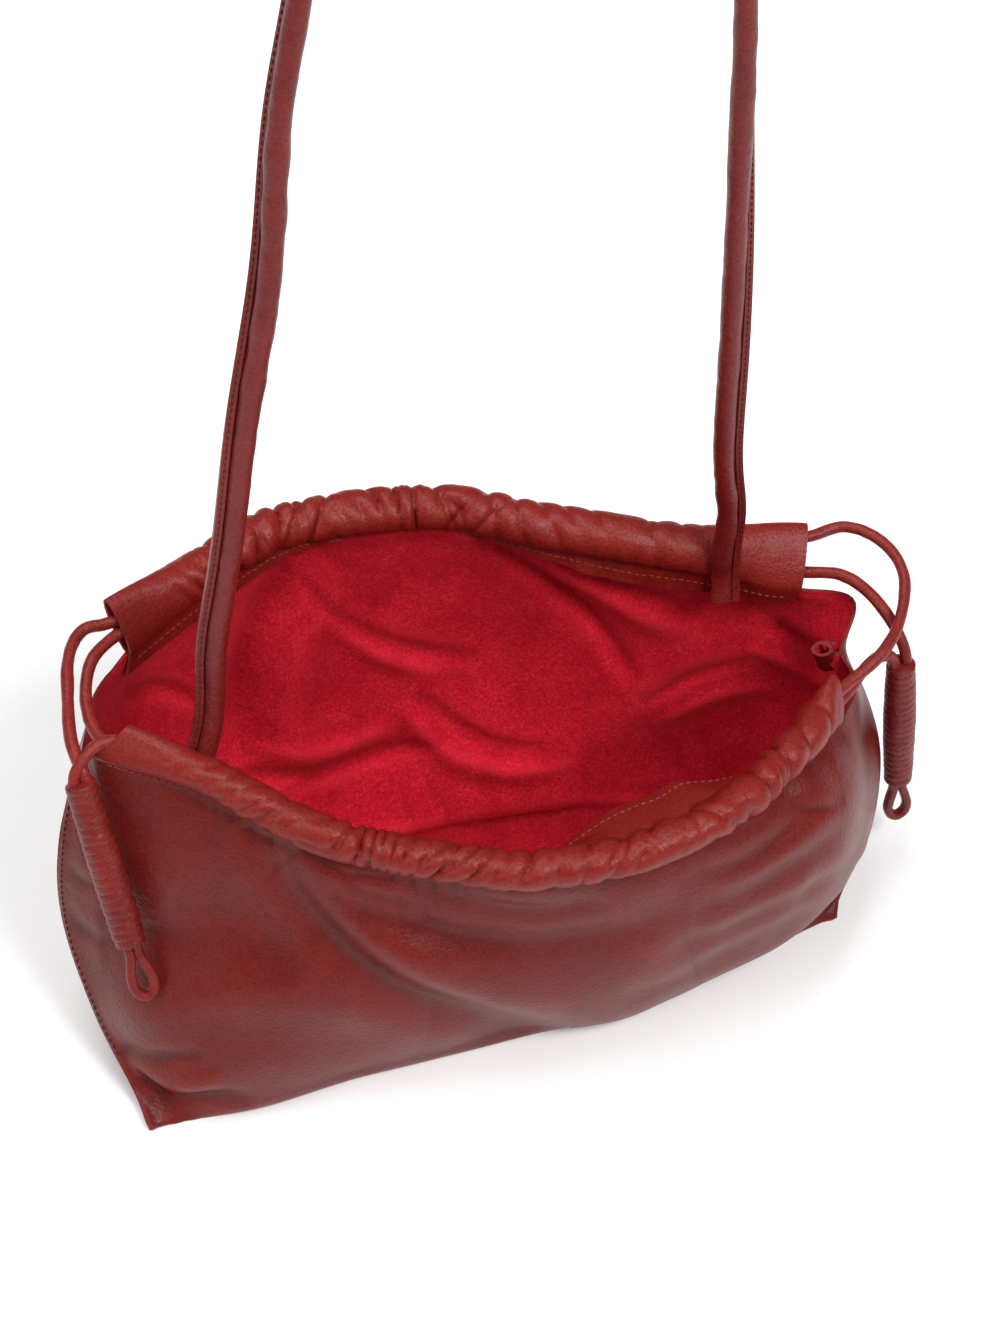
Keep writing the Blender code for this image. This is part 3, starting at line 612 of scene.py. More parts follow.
class Casing:
    """One gathered casing: a flattened sleeve at its ends that is drawn into a round roll between them."""

    def __init__(self, guide, lean, outward, flat, creases, pitch):
        self.flat = flat
        self.creases = creases
        self.line = np.array([at(p) for p in guide])
        self.lean = lean
        self.outward = outward
        read = smooth(self.line, np.linspace(0, 1, 200))
        self.length = np.linalg.norm(np.diff(read, axis=0), axis=1).sum()
        fine = np.linspace(0, 1, 400)
        density = 1 / smooth(pitch, fine)[:, 0]
        self.counted = fine, np.cumsum(density) * self.length / len(fine)
        self.pitch = pitch

    def frame(self, places):
        """The middle, the way along, the upright axis and the outward axis at each place."""
        step = 0.002
        middle = smooth(self.line, places)
        before, after = np.clip(places - step, 0, 1), np.clip(places + step, 0, 1)
        tangent = unit(smooth(self.line, after) - smooth(self.line, before))
        out = unit(np.cross(tangent, (0, 0, 1)) * self.outward)
        up = unit(np.cross(out, tangent) * self.outward)
        lean = np.radians(smooth(self.lean, places))
        axis = up * np.cos(lean) + out * np.sin(lean)
        side = out * np.cos(lean) - up * np.sin(lean)
        return middle, tangent, axis, side

    def half_sizes(self, places):
        """Half the height and half the thickness of the sleeve, to the middle of the leather."""
        drawn = ease(places / self.flat[0]) * ease((1 - places) / self.flat[1])
        flat = (CASING_FLAT_HEIGHT - LEATHER) / 2
        thin = (CORD_DIAMETER + LEATHER) / 2 + 2 * GAP
        roll = (CASING_ROLL - LEATHER) / 2
        return flat + (roll - flat) * drawn, thin + (roll - thin) * drawn, drawn

    def cord_line(self, which):
        """The middle of the upper (+1) or lower (-1) of the two cords in the sleeve, and just outside it."""
        places = np.linspace(0, 1, CORD_STATIONS)
        middle, tangent, axis, _ = self.frame(places)
        spread = CORD_SPREAD * (1 - ease((1 - places) / self.flat[1])) * (self.outward < 0)
        line = middle + axis * (which * ((CORD_DIAMETER + GAP) / 2 + spread))[:, None]
        return [line[0] - tangent[0] * CORD_DIAMETER, *line, line[-1] + tangent[-1] * CORD_DIAMETER]

    def pleats(self, places, turn, seed):
        """How far the gathers stand in (0) or out (1) at each place and turn round the roll, in radians."""
        run = places * self.length
        spot = np.stack([run, np.cos(turn) * 0.006, np.sin(turn) * 0.006], axis=-1)
        warp = wander(run, 0.024, seed) * 0.0075 + cloud(spot, 0.012, seed + 1) * 0.0022
        slant = (math.pi - turn) * 0.0042 * (0.35 + wander(run, 0.035, seed + 2))
        pitch = smooth(self.pitch, places)[:, 0]
        count = np.interp(places, *self.counted) + (warp + slant) / pitch
        wave = 1 - (1 - np.abs(np.sin(math.pi * count))) ** 1.3
        small = np.abs(np.sin(math.pi * (run + warp * 1.6 - slant * 0.7) / FINE_PITCH + 2)) ** 0.9
        wide = np.stack([run, np.cos(turn) * 0.012, np.sin(turn) * 0.012], axis=-1)
        deep = np.clip(0.60 + 0.85 * cloud(wide, 0.014, seed + 3), 0.12, 1.1)
        fine = np.clip(0.5 + 0.9 * cloud(spot, 0.011, seed + 12), 0, 1)
        crease = 0
        for place, sharpness, lean in self.creases:
            gap = run - place * self.length - lean * (turn - math.pi)
            crease = crease + CREASE_DEPTH * np.exp(-np.abs(gap / sharpness) ** 1.3)
        return 1 - (1 - wave) * deep - 0.24 * (1 - small) * fine - crease


def panel_rows(casing, guide_rows, corners):
    """The fine grid of a panel's middle surface up to its outer stitch line, and the columns' places."""
    casing_places = np.linspace(0, 1, CASING_COLUMNS + 1)
    middle, _, axis, side = casing.frame(casing_places)
    tall, thick, _ = casing.half_sizes(casing_places)
    start = np.arcsin((LEATHER + GAP) / 2 / thick)
    stitch = middle - axis * (tall * np.cos(start))[:, None] + side * (thick * np.sin(start))[:, None]
    steps = np.arange(SIDE_COLUMNS) / SIDE_COLUMNS
    left = smooth(np.array([at(LEFT_SEAM[-1]), at(corners[0]), stitch[0]]), steps)
    right = smooth(np.array([at(RIGHT_SEAM[-1]), at(corners[1]), stitch[-1]]), steps)[::-1]
    top = np.array([*left, *stitch, *right])
    places = along(top)
    grid = []
    for first, inner, last in zip(LEFT_SEAM, guide_rows, RIGHT_SEAM):
        grid.append(smooth(np.array([at(p) for p in (first, *inner, last)]), places))
    grid = np.array([*grid, top])
    rows = []
    for r, count in enumerate(ROW_STEPS):
        before, after = grid[max(r - 1, 0)], grid[min(r + 2, len(grid) - 1)]
        a, b = grid[r], grid[r + 1]
        for t in np.arange(count) / count:
            rows.append(0.5 * (2 * a + (b - before) * t + (2 * before - 5 * a + 4 * b - after) * t**2
                               + (3 * a - before - 3 * b + after) * t**3))
    rows = np.array([*rows, grid[-1]])
    rows[:, :, 2] = np.maximum(rows[:, :, 2], 0)
    rows[:, :, 2] += LEATHER / 2 * (1 - ease(rows[:, :, 2] / (8 * LEATHER)))
    return rows, places


def normals_of(rows, facing):
    across = np.gradient(rows, axis=1)
    upward = np.gradient(rows, axis=0)
    return unit(np.cross(across, upward)) * facing


def panel(name, casing, guide_rows, corners, folds, flap_turn, finishes):
    """One leather panel as a sheet with real thickness: grain outside, suede inside and cut edges."""
    facing = casing.outward
    seed = 20 if facing > 0 else 60
    rows, places = panel_rows(casing, guide_rows, corners)
    casing_places = np.linspace(0, 1, CASING_COLUMNS + 1)

    # The wall's own folds, gathers and slack
    normal = normals_of(rows, facing)
    hang = unit(rows[-6] - rows[-1])
    top_normal = normal[-1]
    run = places * np.linalg.norm(np.diff(rows[-1], axis=0), axis=1).sum()
    drop = np.linalg.norm(np.diff(rows[::-1], axis=0), axis=2)
    drop = np.concatenate([np.zeros((1, rows.shape[1])), np.cumsum(drop, axis=0)])[::-1]
    column_drawn = ease((places - 0.12) / 0.12) * ease((0.93 - places) / 0.10)
    lift = wall_lift(rows, run, drop, column_drawn, seed)
    lift += fold_lift(rows, folds)
    top_fade = ease(drop / 0.006)
    floor_fade = ease((rows[:, :, 2] - 0.002) / 0.012)
    edge = np.minimum(places, 1 - places) / 0.03
    lift = lift * (0.25 + 0.75 * top_fade) * (0.15 + 0.85 * floor_fade) * ease(edge)
    lift -= OVERHANG * column_drawn * np.exp(-((drop / 0.007) ** 2))
    rows = rows + normal * lift[:, :, None]
    rows[:, :, 2] = np.maximum(rows[:, :, 2], LEATHER / 2)

    # The casing: from the outer stitch line over the top and down to the flap's edge
    middle, tangent, axis, side = casing.frame(casing_places)
    tall, thick, drawn = casing.half_sizes(casing_places)
    layer = (LEATHER + GAP) / 2
    start = np.arcsin(layer / thick)
    first, last = SIDE_COLUMNS, SIDE_COLUMNS + CASING_COLUMNS + 1
    shift = rows[-1, first:last] - (middle - axis * (tall * np.cos(start))[:, None]
                                    + side * (thick * np.sin(start))[:, None])
    gather = smooth(FRONT_GATHER if facing > 0 else BACK_GATHER, casing_places)[:, 0]
    rings = []
    for j in range(1, CASING_FACETS + 1):
        share = j / CASING_FACETS
        turn = start + (2 * math.pi - 2 * start) * share
        pleat = casing.pleats(casing_places, turn, seed)
        closing = np.sin(turn / 2) ** 0.6
        depth = (GATHER_DEPTH * (1 - pleat) * gather - GATHER_SWELL) * drawn * closing
        round_off = 1 - 0.10 * (1 - drawn) * np.sin(turn) ** 2
        ring = (middle - axis * ((tall - depth * 0.6) * np.cos(turn))[:, None]
                + side * ((thick * round_off - depth) * np.sin(turn))[:, None])
        sway = cloud(middle, 0.022, seed + 7) * 0.0007 * np.sin(turn / 2) * drawn
        rings.append(ring + side * sway[:, None] + shift * (abs(math.cos(math.pi * share)) ** 2))
    flap_end = rings[-1].copy()
    turned = np.radians(smooth(flap_turn, casing_places))
    flap_way = hang[first:last] * np.cos(turned) - top_normal[first:last] * np.sin(turned)
    shown = SHOWN_FLAP * smooth(FRONT_FLAP_WIDTH if facing > 0 else BACK_FLAP_WIDTH, casing_places)
    for j in range(1, FLAP_ROWS + 1):
        ripple = wander(run[first:last], 0.009, seed + 9, j * 0.002) * 0.0006 * drawn * j / FLAP_ROWS
        rings.append(flap_end + flap_way * shown * j / FLAP_ROWS
                     - top_normal[first:last] * (ripple + 0.0003 * j / FLAP_ROWS)[:, None])
    rings = np.array(rings)
    if facing > 0:
        opened = np.clip(smooth(FRONT_OPEN, casing_places)[:, 0], 0, 1)
        rings = opened_out(rings, opened, axis, side)
        level = ((rings - middle) * axis).sum(axis=-1) / tall
        loose = 1 - ease(casing_places / SKEW_REACH)
        low = (loose * np.clip((1 - level) / 2, 0, 1))[:, :, None]
        rings = rings + low * (axis * SKEW_UP - tangent * SKEW_BACK) - axis * (SKEW_DOWN * loose)[:, None]
        pull = (axis * (SKEW_UP - SKEW_DOWN) - tangent * SKEW_BACK) * loose[:, None]
        before = pull[0] * (np.arange(SIDE_COLUMNS) / SIDE_COLUMNS)[:, None]
        pull = np.concatenate([before, pull, np.zeros((SIDE_COLUMNS, 3))])
        rows = rows + pull * (1 - ease(drop / SKEW_DROP))[:, :, None]

    rows = parted_at_seams(rows, facing)
    points = rows.reshape(-1, 3)
    index = np.arange(len(points)).reshape(rows.shape[:2])
    ring_index = np.arange(rings.shape[0] * rings.shape[1]).reshape(rings.shape[:2]) + len(points)
    quads = [grid_faces(index)]
    quads.append(grid_faces(np.concatenate([index[-1:, first:last], ring_index])))
    points = np.concatenate([points, rings.reshape(-1, 3)])
    quads = np.concatenate(quads)
    if facing < 0:
        quads = quads[:, ::-1]
    made = thick_sheet(name, points, quads, finishes)
    # Marks the casing's points, where the leather's colour gets painted light on its upward-facing roll
    on_roll = np.concatenate([np.zeros(index.size), np.ones(ring_index.size)])
    roll = made.data.attributes.new("roll", "FLOAT", "POINT")
    roll.data.foreach_set("value", np.concatenate([on_roll, on_roll]).astype(np.float32))
    normal = normals_of(rows, facing)
    at_hem = slice(first + 3, last + 3)
    surface = rows + normal * LEATHER / 2
    stitches(f"{name}_hem_stitches", surface[-2, at_hem][4:-4], normal[-2, at_hem][4:-4], thread)
    inward = -flap_way_out(rings[-1] - rings[-3], tangent, side)
    stitches(f"{name}_flap_stitches", (rings[-3] + inward * LEATHER / 2)[4:-4], inward[4:-4], thread)
    if facing > 0:
        rise = (rows[:, 4, 2] > SIDE_STITCH_LOW) & (rows[:, 4, 2] < SIDE_STITCH_HIGH)
        stitches("side_stitches", surface[rise, 4], normal[rise, 4], dark_thread)
    return made, rows, rings


def evened(values):
    """Values along the columns with their gathers evened out."""
    for _ in range(60):
        values = np.concatenate([values[:1], (values[:-2] + 2 * values[1:-1] + values[2:]) / 4, values[-1:]])
    return values


def opened_out(rings, opened, axis, side):
    """The rings with their inner part and flap laid out into the pouch where the casing has rolled open."""
    first = round(CASING_FACETS * OPEN_FROM)
    way = unit(-side * 0.95 - axis * 0.32)
    start = evened(rings[first])
    out = rings.copy()
    for j in range(first + 1, len(rings)):
        length = evened(np.linalg.norm(np.diff(rings[first:j + 1], axis=0), axis=2).sum(axis=0)[:, None])
        sag = axis * (length / 0.02) ** 2 * 0.0022
        share = opened[:, None]
        out[j] = rings[j] * (1 - share) + (start + way * length - sag) * share
    return out


def flap_way_out(flap_way, tangent, side):
    """The way across a flap's face that points from the bag's inside to its wall."""
    out = unit(np.cross(flap_way, tangent))
    return out * np.sign((out * side).sum(axis=1, keepdims=True))


def wall_lift(rows, run, drop, drawn, seed):
    """The slack of the leather: gathers that fan out below the casing, and soft undulations."""
    spot = np.stack([np.broadcast_to(run, drop.shape), drop * 0.35, drop * 0], axis=-1)
    warp = cloud(spot, 0.02, seed + 4) * 0.004
    near = np.exp(-drop / 0.009) * ease(0.5 + cloud(spot, 0.03, seed + 11))
    far = np.exp(-drop / 0.045)
    fine = (np.abs(np.sin(math.pi * (run + warp) / 0.0085)) ** 0.8 - 0.5) * 0.0013 * near
    wide = np.stack([run + warp, drop * 0.22, drop * 0 + 3], -1)
    broad = cloud(wide, 0.016, seed + 5) * 0.0022 * far * (1 - near * 0.6)
    slack = cloud(rows, 0.055, seed + 6) * 0.0016 + cloud(rows, 0.022, seed + 8) * 0.0005
    return (fine + broad) * drawn + slack


def fold_lift(rows, folds):
    """How far each fold that the photograph shows lifts the surface, in metres."""
    pixels = photo_pixels(rows)
    lift = np.zeros(rows.shape[:2])
    for height, width, route in folds:
        line = np.array(route, float)
        if len(line) > 2:
            line = smooth(np.column_stack([line, np.zeros(len(line))]), np.linspace(0, 1, 24))[:, :2]
        best = np.full(lift.shape, 1e9)
        place = np.zeros(lift.shape)
        side = np.zeros(lift.shape)
        knots = np.linspace(0, 1, len(line))
        for k in range(len(line) - 1):
            way = line[k + 1] - line[k]
            length = max(float(np.dot(way, way)), 1e-9)
            t = np.clip(((pixels - line[k]) @ way) / length, 0, 1)
            near = pixels - line[k] - t[..., None] * way
            gap = np.linalg.norm(near, axis=-1)
            closer = gap < best
            best = np.where(closer, gap, best)
            place = np.where(closer, knots[k] + t * (knots[k + 1] - knots[k]), place)
            side = np.where(closer, near[..., 0] * way[1] - near[..., 1] * way[0], side)
        fade = np.clip(np.sin(math.pi * np.clip(place, 0, 1)), 0, 1) ** 0.6
        lift += height / 1000 * np.exp(-(best / width) ** 2) * fade
    return lift


def parted_at_seams(rows, facing):
    """The rows with their edges turned into the bag at the side seams and under the base."""
    rows = rows.copy()
    for column, inward in ((0, 1.0), (-1, -1.0)):
        line = rows[:, column].copy()
        low = (1 - ease(line[:, 2] / (10 * LEATHER)))[:, None]
        apart = (LEATHER + GAP * 0.3) / 2 * (1 + low * 0.5)
        line[:, 2:] += apart * low
        way = unit(np.gradient(line, axis=0))
        side = unit(np.cross(way, (inward, 0, 0)))
        side *= np.sign(side[-1, 1] * -facing + 1e-9)
        shift = line + side * apart - rows[:, column]
        order = range(4) if column == 0 else range(-1, -5, -1)
        for step, k in enumerate(order):
            rows[:, k] += shift * (1 - step / 4) ** 2
    rows[0, 1:-1, 1] -= facing * (LEATHER + GAP) / 2
    turned = []
    for step in (3, 2, 1):
        share = step / 3
        left = rows[:, 0] + np.array([1.0, 0, 0]) * allowance_reach(rows[:, 0, 2])[:, None] * share
        right = rows[:, -1] - np.array([1.0, 0, 0]) * allowance_reach(rows[:, -1, 2])[:, None] * share
        turned.append((left, right))
    left = np.stack([t[0] for t in turned], axis=1)
    right = np.stack([t[1] for t in reversed(turned)], axis=1)
    rows = np.concatenate([left, rows, right], axis=1)
    share = np.linspace(0, 1, rows.shape[1])
    rise = np.maximum(ease(np.minimum(share, 1 - share) / 0.14) * ALLOWANCE, LEATHER)
    edges = []
    for step in (3, 2, 1):
        edge = rows[0].copy()
        edge[:, 2] += rise * step / 3
        edges.append(edge)
    return np.concatenate([np.array(edges), rows])


def allowance_reach(height):
    return np.maximum(ease(height / (0.2 * BAG_HEIGHT)) * ALLOWANCE, LEATHER)


def grid_faces(index):
    a, b = index[:-1, :-1], index[:-1, 1:]
    c, d = index[1:, 1:], index[1:, :-1]
    return np.stack([a, b, c, d], axis=-1).reshape(-1, 4)


def thick_sheet(name, points, quads, finishes):
    """Both faces of a sheet and its cut edges, from its middle surface."""
    corners = points[quads]
    face_normal = np.cross(corners[:, 2] - corners[:, 0], corners[:, 3] - corners[:, 1])
    normal = np.zeros_like(points)
    for k in range(4):
        np.add.at(normal, quads[:, k], face_normal)
    normal = unit(normal)
    outer = points + normal * LEATHER / 2
    inner = points - normal * LEATHER / 2
    count = len(points)
    edges = {}
    for quad in quads.tolist():
        for k in range(4):
            edges[quad[k], quad[(k + 1) % 4]] = True
    rim = [(b, a) for a, b in edges if (b, a) not in edges]
    rims = [(b, a, a + count, b + count) for a, b in ((e[1], e[0]) for e in rim)]
    rims = np.array([(f[0], f[1], f[2], f[3]) for f in rims])
    rims = rims[:, ::-1]
    faces = np.concatenate([quads, quads[:, ::-1] + count, rims])
    inside = np.where(near_corner(corners.mean(axis=1)), 2, 1)
    finish = np.concatenate([np.zeros(len(quads)), inside, np.full(len(rims), 2)])
    everything = np.concatenate([outer, inner])
    made = mesh_object(name, everything, faces, finishes, finish, sharp=60)
    store_fold(made, points, normal, quads, count)
    return made


def near_corner(places):
    """Which places lie in the base's two corner tabs, where the raw seam allowances fill the seam."""
    found = np.zeros(len(places), bool)
    for share in (LEFT_SEAM[0], RIGHT_SEAM[0]):
        found |= np.linalg.norm(places - at(share), axis=1) < CORNER_TAB
    return found


def store_fold(made, points, normal, quads, count):
    """Keeps how far each point stands out of (+) or lies in (-) a fold, for painted shade in creases and
    lighter ridges.
    """
    around = np.zeros_like(points)
    weight = np.zeros(count)
    for k in range(4):
        for other in (1, 3):
            np.add.at(around, quads[:, k], points[quads[:, (k + other) % 4]])
            np.add.at(weight, quads[:, k], 1)
    bend = ((points - around / np.maximum(weight, 1)[:, None]) * normal).sum(axis=1)
    value = np.clip(bend / 0.00012, -1, 1)
    for _ in range(2):
        total = np.zeros(count)
        for k in range(4):
            np.add.at(total, quads[:, k], value[quads[:, (k + 1) % 4]] + value[quads[:, (k + 3) % 4]])
        value = 0.4 * value + 0.6 * total / np.maximum(weight, 1)
    attribute = made.data.attributes.new("fold", "FLOAT", "POINT")
    attribute.data.foreach_set("value", np.concatenate([value, -value]).astype(np.float32))


def stitches(name, line, normals, finish, pitch=STITCH_PITCH, sink=0.35):
    """A row of separate stitches along a line that lies on the surface."""
    line, normals = np.asarray(line), np.asarray(normals)
    steps = np.linalg.norm(np.diff(line, axis=0), axis=1)
    total = np.concatenate([[0.0], np.cumsum(steps)])
    count = int(total[-1] / pitch)
    points, faces = [], []
    profile = ((-0.5, 0.0), (-0.40, 0.75), (-0.2, 1.0), (0.2, 1.0), (0.40, 0.75), (0.5, 0.0))
    sides = 6
    for k in range(count):
        centre_at = (k + 0.5) * pitch
        for share, size in profile:
            where = centre_at + share * STITCH_LENGTH
            spot = np.array([np.interp(where, total, line[:, i]) for i in range(3)])
            up = unit(np.array([np.interp(where, total, normals[:, i]) for i in range(3)]))
            ahead = np.array([np.interp(where + 1e-4, total, line[:, i]) for i in range(3)]) - np.array(
                [np.interp(where - 1e-4, total, line[:, i]) for i in range(3)])
            way = unit(ahead)
            across = unit(np.cross(way, up))
            centre = spot + up * THREAD * (0.5 - sink - 0.6 * (1 - size))
            for i in range(sides):
                turn = 2 * math.pi * i / sides
                way_out = across * math.cos(turn) + up * math.sin(turn)
                points.append(centre + way_out * THREAD / 2 * max(size, 0.05))
        base = k * len(profile) * sides
        for r in range(len(profile) - 1):
            for i in range(sides):
                a, b = base + r * sides + i, base + r * sides + (i + 1) % sides
                faces.append((a, b, b + sides, a + sides))
        faces.append(tuple(base + i for i in reversed(range(sides))))
        faces.append(tuple(base + (len(profile) - 1) * sides + i for i in range(sides)))
    return mesh_object(name, points, faces, [finish])


def tube(name, centres, radius_at, sides, finish, up_hint=(0, 0, 1)):
    """A closed tube along centres. radius_at(i, turns) gives the radius at each turn round ring i."""
    centres = np.asarray(centres)
    way = unit(np.gradient(centres, axis=0))
    across = unit(np.cross(way[0], up_hint))
    points = []
    turns = np.linspace(0, 2 * math.pi, sides, endpoint=False)
    for i, centre in enumerate(centres):
        across = unit(across - way[i] * np.dot(across, way[i]))
        other = np.cross(way[i], across)
        radius = radius_at(i, turns)
        points.append(centre + np.outer(radius * np.cos(turns), across)
                      + np.outer(radius * np.sin(turns), other))
    points = np.concatenate(points)
    return mesh_object(name, points, tube_faces(points, len(centres), sides), [finish], sharp=75)


def cord_route(stretches):
    """A fine smooth line through a cord's route points."""
    route = np.array(stretches)
    length = np.linalg.norm(np.diff(route, axis=0), axis=1).sum()
    fine = smooth(route, np.linspace(0, 1, round(length / CORD_STEP) + 1))
    for _ in range(40):
        fine[1:-1] = (fine[:-2] + 2 * fine[1:-1] + fine[2:]) / 4
    return fine


def cord(name, stretches, seed, finish):
    """A rolled leather cord: a butted seam and small cross wrinkles along it."""
    fine = cord_route(stretches)
    run = np.arange(len(fine)) * CORD_STEP
    wobble = wander(run, 0.010, seed) * 0.00012
    wrinkle = wander(run, 0.0028, seed + 1, level=1) * 0.00010

    def radius_at(i, turns):
        groove = np.exp(-(((turns - 1.2 - 0.5 * math.sin(run[i] * 25)) % (2 * math.pi)) / 0.28) ** 2)
        return CORD_DIAMETER / 2 + wobble[i] + wrinkle[i] * np.cos(turns + run[i] * 60) - 0.0005 * groove

    return tube(name, fine, radius_at, 18, finish), fine


def toggle_frame(top, end):
    """The toggle's top, its way down and two axes across it, the first along the pair of cords."""
    start = at(top)
    down = unit(at(end) - start)
    across = unit(np.cross(down, (1, 0, 0)))
    return start, down, np.cross(down, across), across


def cord_ends(top, end):
    """The first two and the last two points of a cord that starts and ends in a toggle."""
    start, down, across, _ = toggle_frame(top, end)
    apart = across * math.copysign((CORD_DIAMETER + GAP) / 2, across[1])
    return ([start + apart - down * d for d in (-CORD_IN, CORD_DIAMETER)],
            [start - apart - down * d for d in (CORD_DIAMETER, -CORD_IN)])


def toggle_wrap(name, top, end, seed, finish):
    """A strip wound in slightly overlapping turns that lean with its helix."""
    start, down, across, other = toggle_frame(top, end)
    pitch = TOGGLE_LENGTH / WIND_TURNS
    sides, rings = 40, WIND_TURNS * 12
    turns = np.linspace(0, 2 * math.pi, sides, endpoint=False)
    points = []
    for i in range(rings + 1):
        depth = TOGGLE_LENGTH * i / rings
        share = depth / TOGGLE_LENGTH
        phase = (depth / pitch + turns / (2 * math.pi)) % 1.0
        bulge = np.sin(math.pi * np.clip(phase * 1.04, 0, 1)) ** 0.30
        lip = 0.10 * phase
        barrel = 0.90 + 0.10 * math.sin(math.pi * share)
        end_round = min(1.0, math.sqrt(max(0.0, 1 - (1 - min(share, 1 - share) / 0.012) ** 2))
                        if min(share, 1 - share) < 0.012 else 1.0)
        which = np.floor(depth / pitch + turns / (2 * math.pi))
        vary = np.sin(which * 12.9 + seed) * 0.00012
        spot = np.stack([np.cos(turns) * 0.006, np.sin(turns) * 0.006, turns * 0 + depth], -1)
        radius = TOGGLE_DIAMETER / 2 * barrel + vary - 0.0005 * (1 - bulge) + 0.0020 * lip
        radius = radius + cloud(spot, 0.004, seed) * 0.00014
        radius = radius * (0.55 + 0.45 * end_round)
        points.append(start + down * depth + np.outer(radius * np.cos(turns), across)
                      + np.outer(radius * np.sin(turns), other))
    points = np.concatenate(points)
    return mesh_object(name, points, tube_faces(points, rings + 1, sides), [finish], sharp=60)


def toggle_loop(name, top, end, finish):
    """The flattened loop below a winding."""
    start, down, across, other = toggle_frame(top, end)
    begin = start + down * (TOGGLE_LENGTH - 0.001)
    reach = LOOP_LENGTH - LOOP_CORD_THICKNESS / 2 + 0.001
    half = (LOOP_WIDTH - LOOP_STRAND) / 2
    neck = LOOP_STRAND * 0.48
    route = [(-neck, 0), (-neck, reach * 0.25), (-half * 0.85, reach * 0.55), (-half, reach * 0.75),
             (-half * 0.6, reach * 0.94), (0, reach)]
    route += [(-x, y) for x, y in reversed(route[:-1])]
    line = np.array([begin + across * x + down * y for x, y in route])
    centres = smooth(line, np.linspace(0, 1, 60))
    way = unit(np.gradient(centres, axis=0))
    sides = unit(np.cross(way, other))
    points = []
    count = 16
    for i, centre in enumerate(centres):
        for k in range(count):
            turn = 2 * math.pi * k / count
            x = math.copysign(abs(math.cos(turn)) ** 0.7, math.cos(turn)) * LOOP_STRAND / 2
            y = math.copysign(abs(math.sin(turn)) ** 0.7, math.sin(turn)) * LOOP_CORD_WIDTH / 2
            points.append(centre + sides[i] * x + other * y)
    return mesh_object(name, points, tube_faces(points, len(centres), count), [finish], sharp=60)


def curled_edge(name, finishes):
    """The raw top of the right side seam, curled over into the pouch."""
    begin = at(RIGHT_SEAM[-1]) + np.array(CURL_LEAD)
    centre = at(RIGHT_SEAM[-1]) + np.array(CURL_AWAY)
    share = np.linspace(0, 1, 60)
    turn = CURL_START + share * CURL_TURNS * 2 * math.pi
    radius = CURL_WIDE + (CURL_TIGHT - CURL_WIDE) * share
    line = centre + np.stack([np.cos(turn) * radius * 1.25, np.sin(turn) * radius, share * 0.001], axis=-1)
    lead = smooth(np.array([begin, (line[0] + begin) / 2, line[0]]), np.linspace(0, 1, 12))[:-1]
    line = np.concatenate([lead, line])
    rows = []
    for depth in np.linspace(0, 1, 12):
        ripple = cloud(line, 0.006, 77) * 0.0008 * depth
        rows.append(line + np.array(CURL_FALL) * depth + np.array([1.0, 0, 0]) * ripple[:, None])
    rows = np.array(rows[::-1])
    index = np.arange(rows.shape[0] * rows.shape[1]).reshape(rows.shape[:2])
    return thick_sheet(name, rows.reshape(-1, 3), grid_faces(index), finishes)


def strap_end(casing, place):
    """The sewn end of the strap inside a casing, from its tail to where it is clear of the roll."""
    middle, tangent, axis, side = (v[0] for v in casing.frame(np.array([place])))
    tall, thick, _ = (float(v[0]) for v in casing.half_sizes(np.array([place])))
    lean = math.radians(float(smooth(casing.lean, place)[0, 0]))
    against = (LEATHER + GAP) / 2 + LEATHER / 2 + GAP + STRAP_TAIL_THICKNESS / 2
    off_roll = thick + LEATHER / 2 + GAP + STRAP_DIAMETER / 2
    below = middle - side * against - axis * tall
    clear = off_roll + STRAP_CLEAR_RISE * max(0.0, math.sin(lean))
    return [
        below - axis * STRAP_TAIL,
        below - axis * STRAP_TAIL / 2,
        middle - side * (against + off_roll) / 2 * 1.05 - axis * tall * 0.75,
        middle - side * off_roll - axis * tall * 0.4,
        middle - side * clear + axis * (STRAP_CLEAR_RISE * math.cos(lean) - tall * 0.4),
    ], tangent


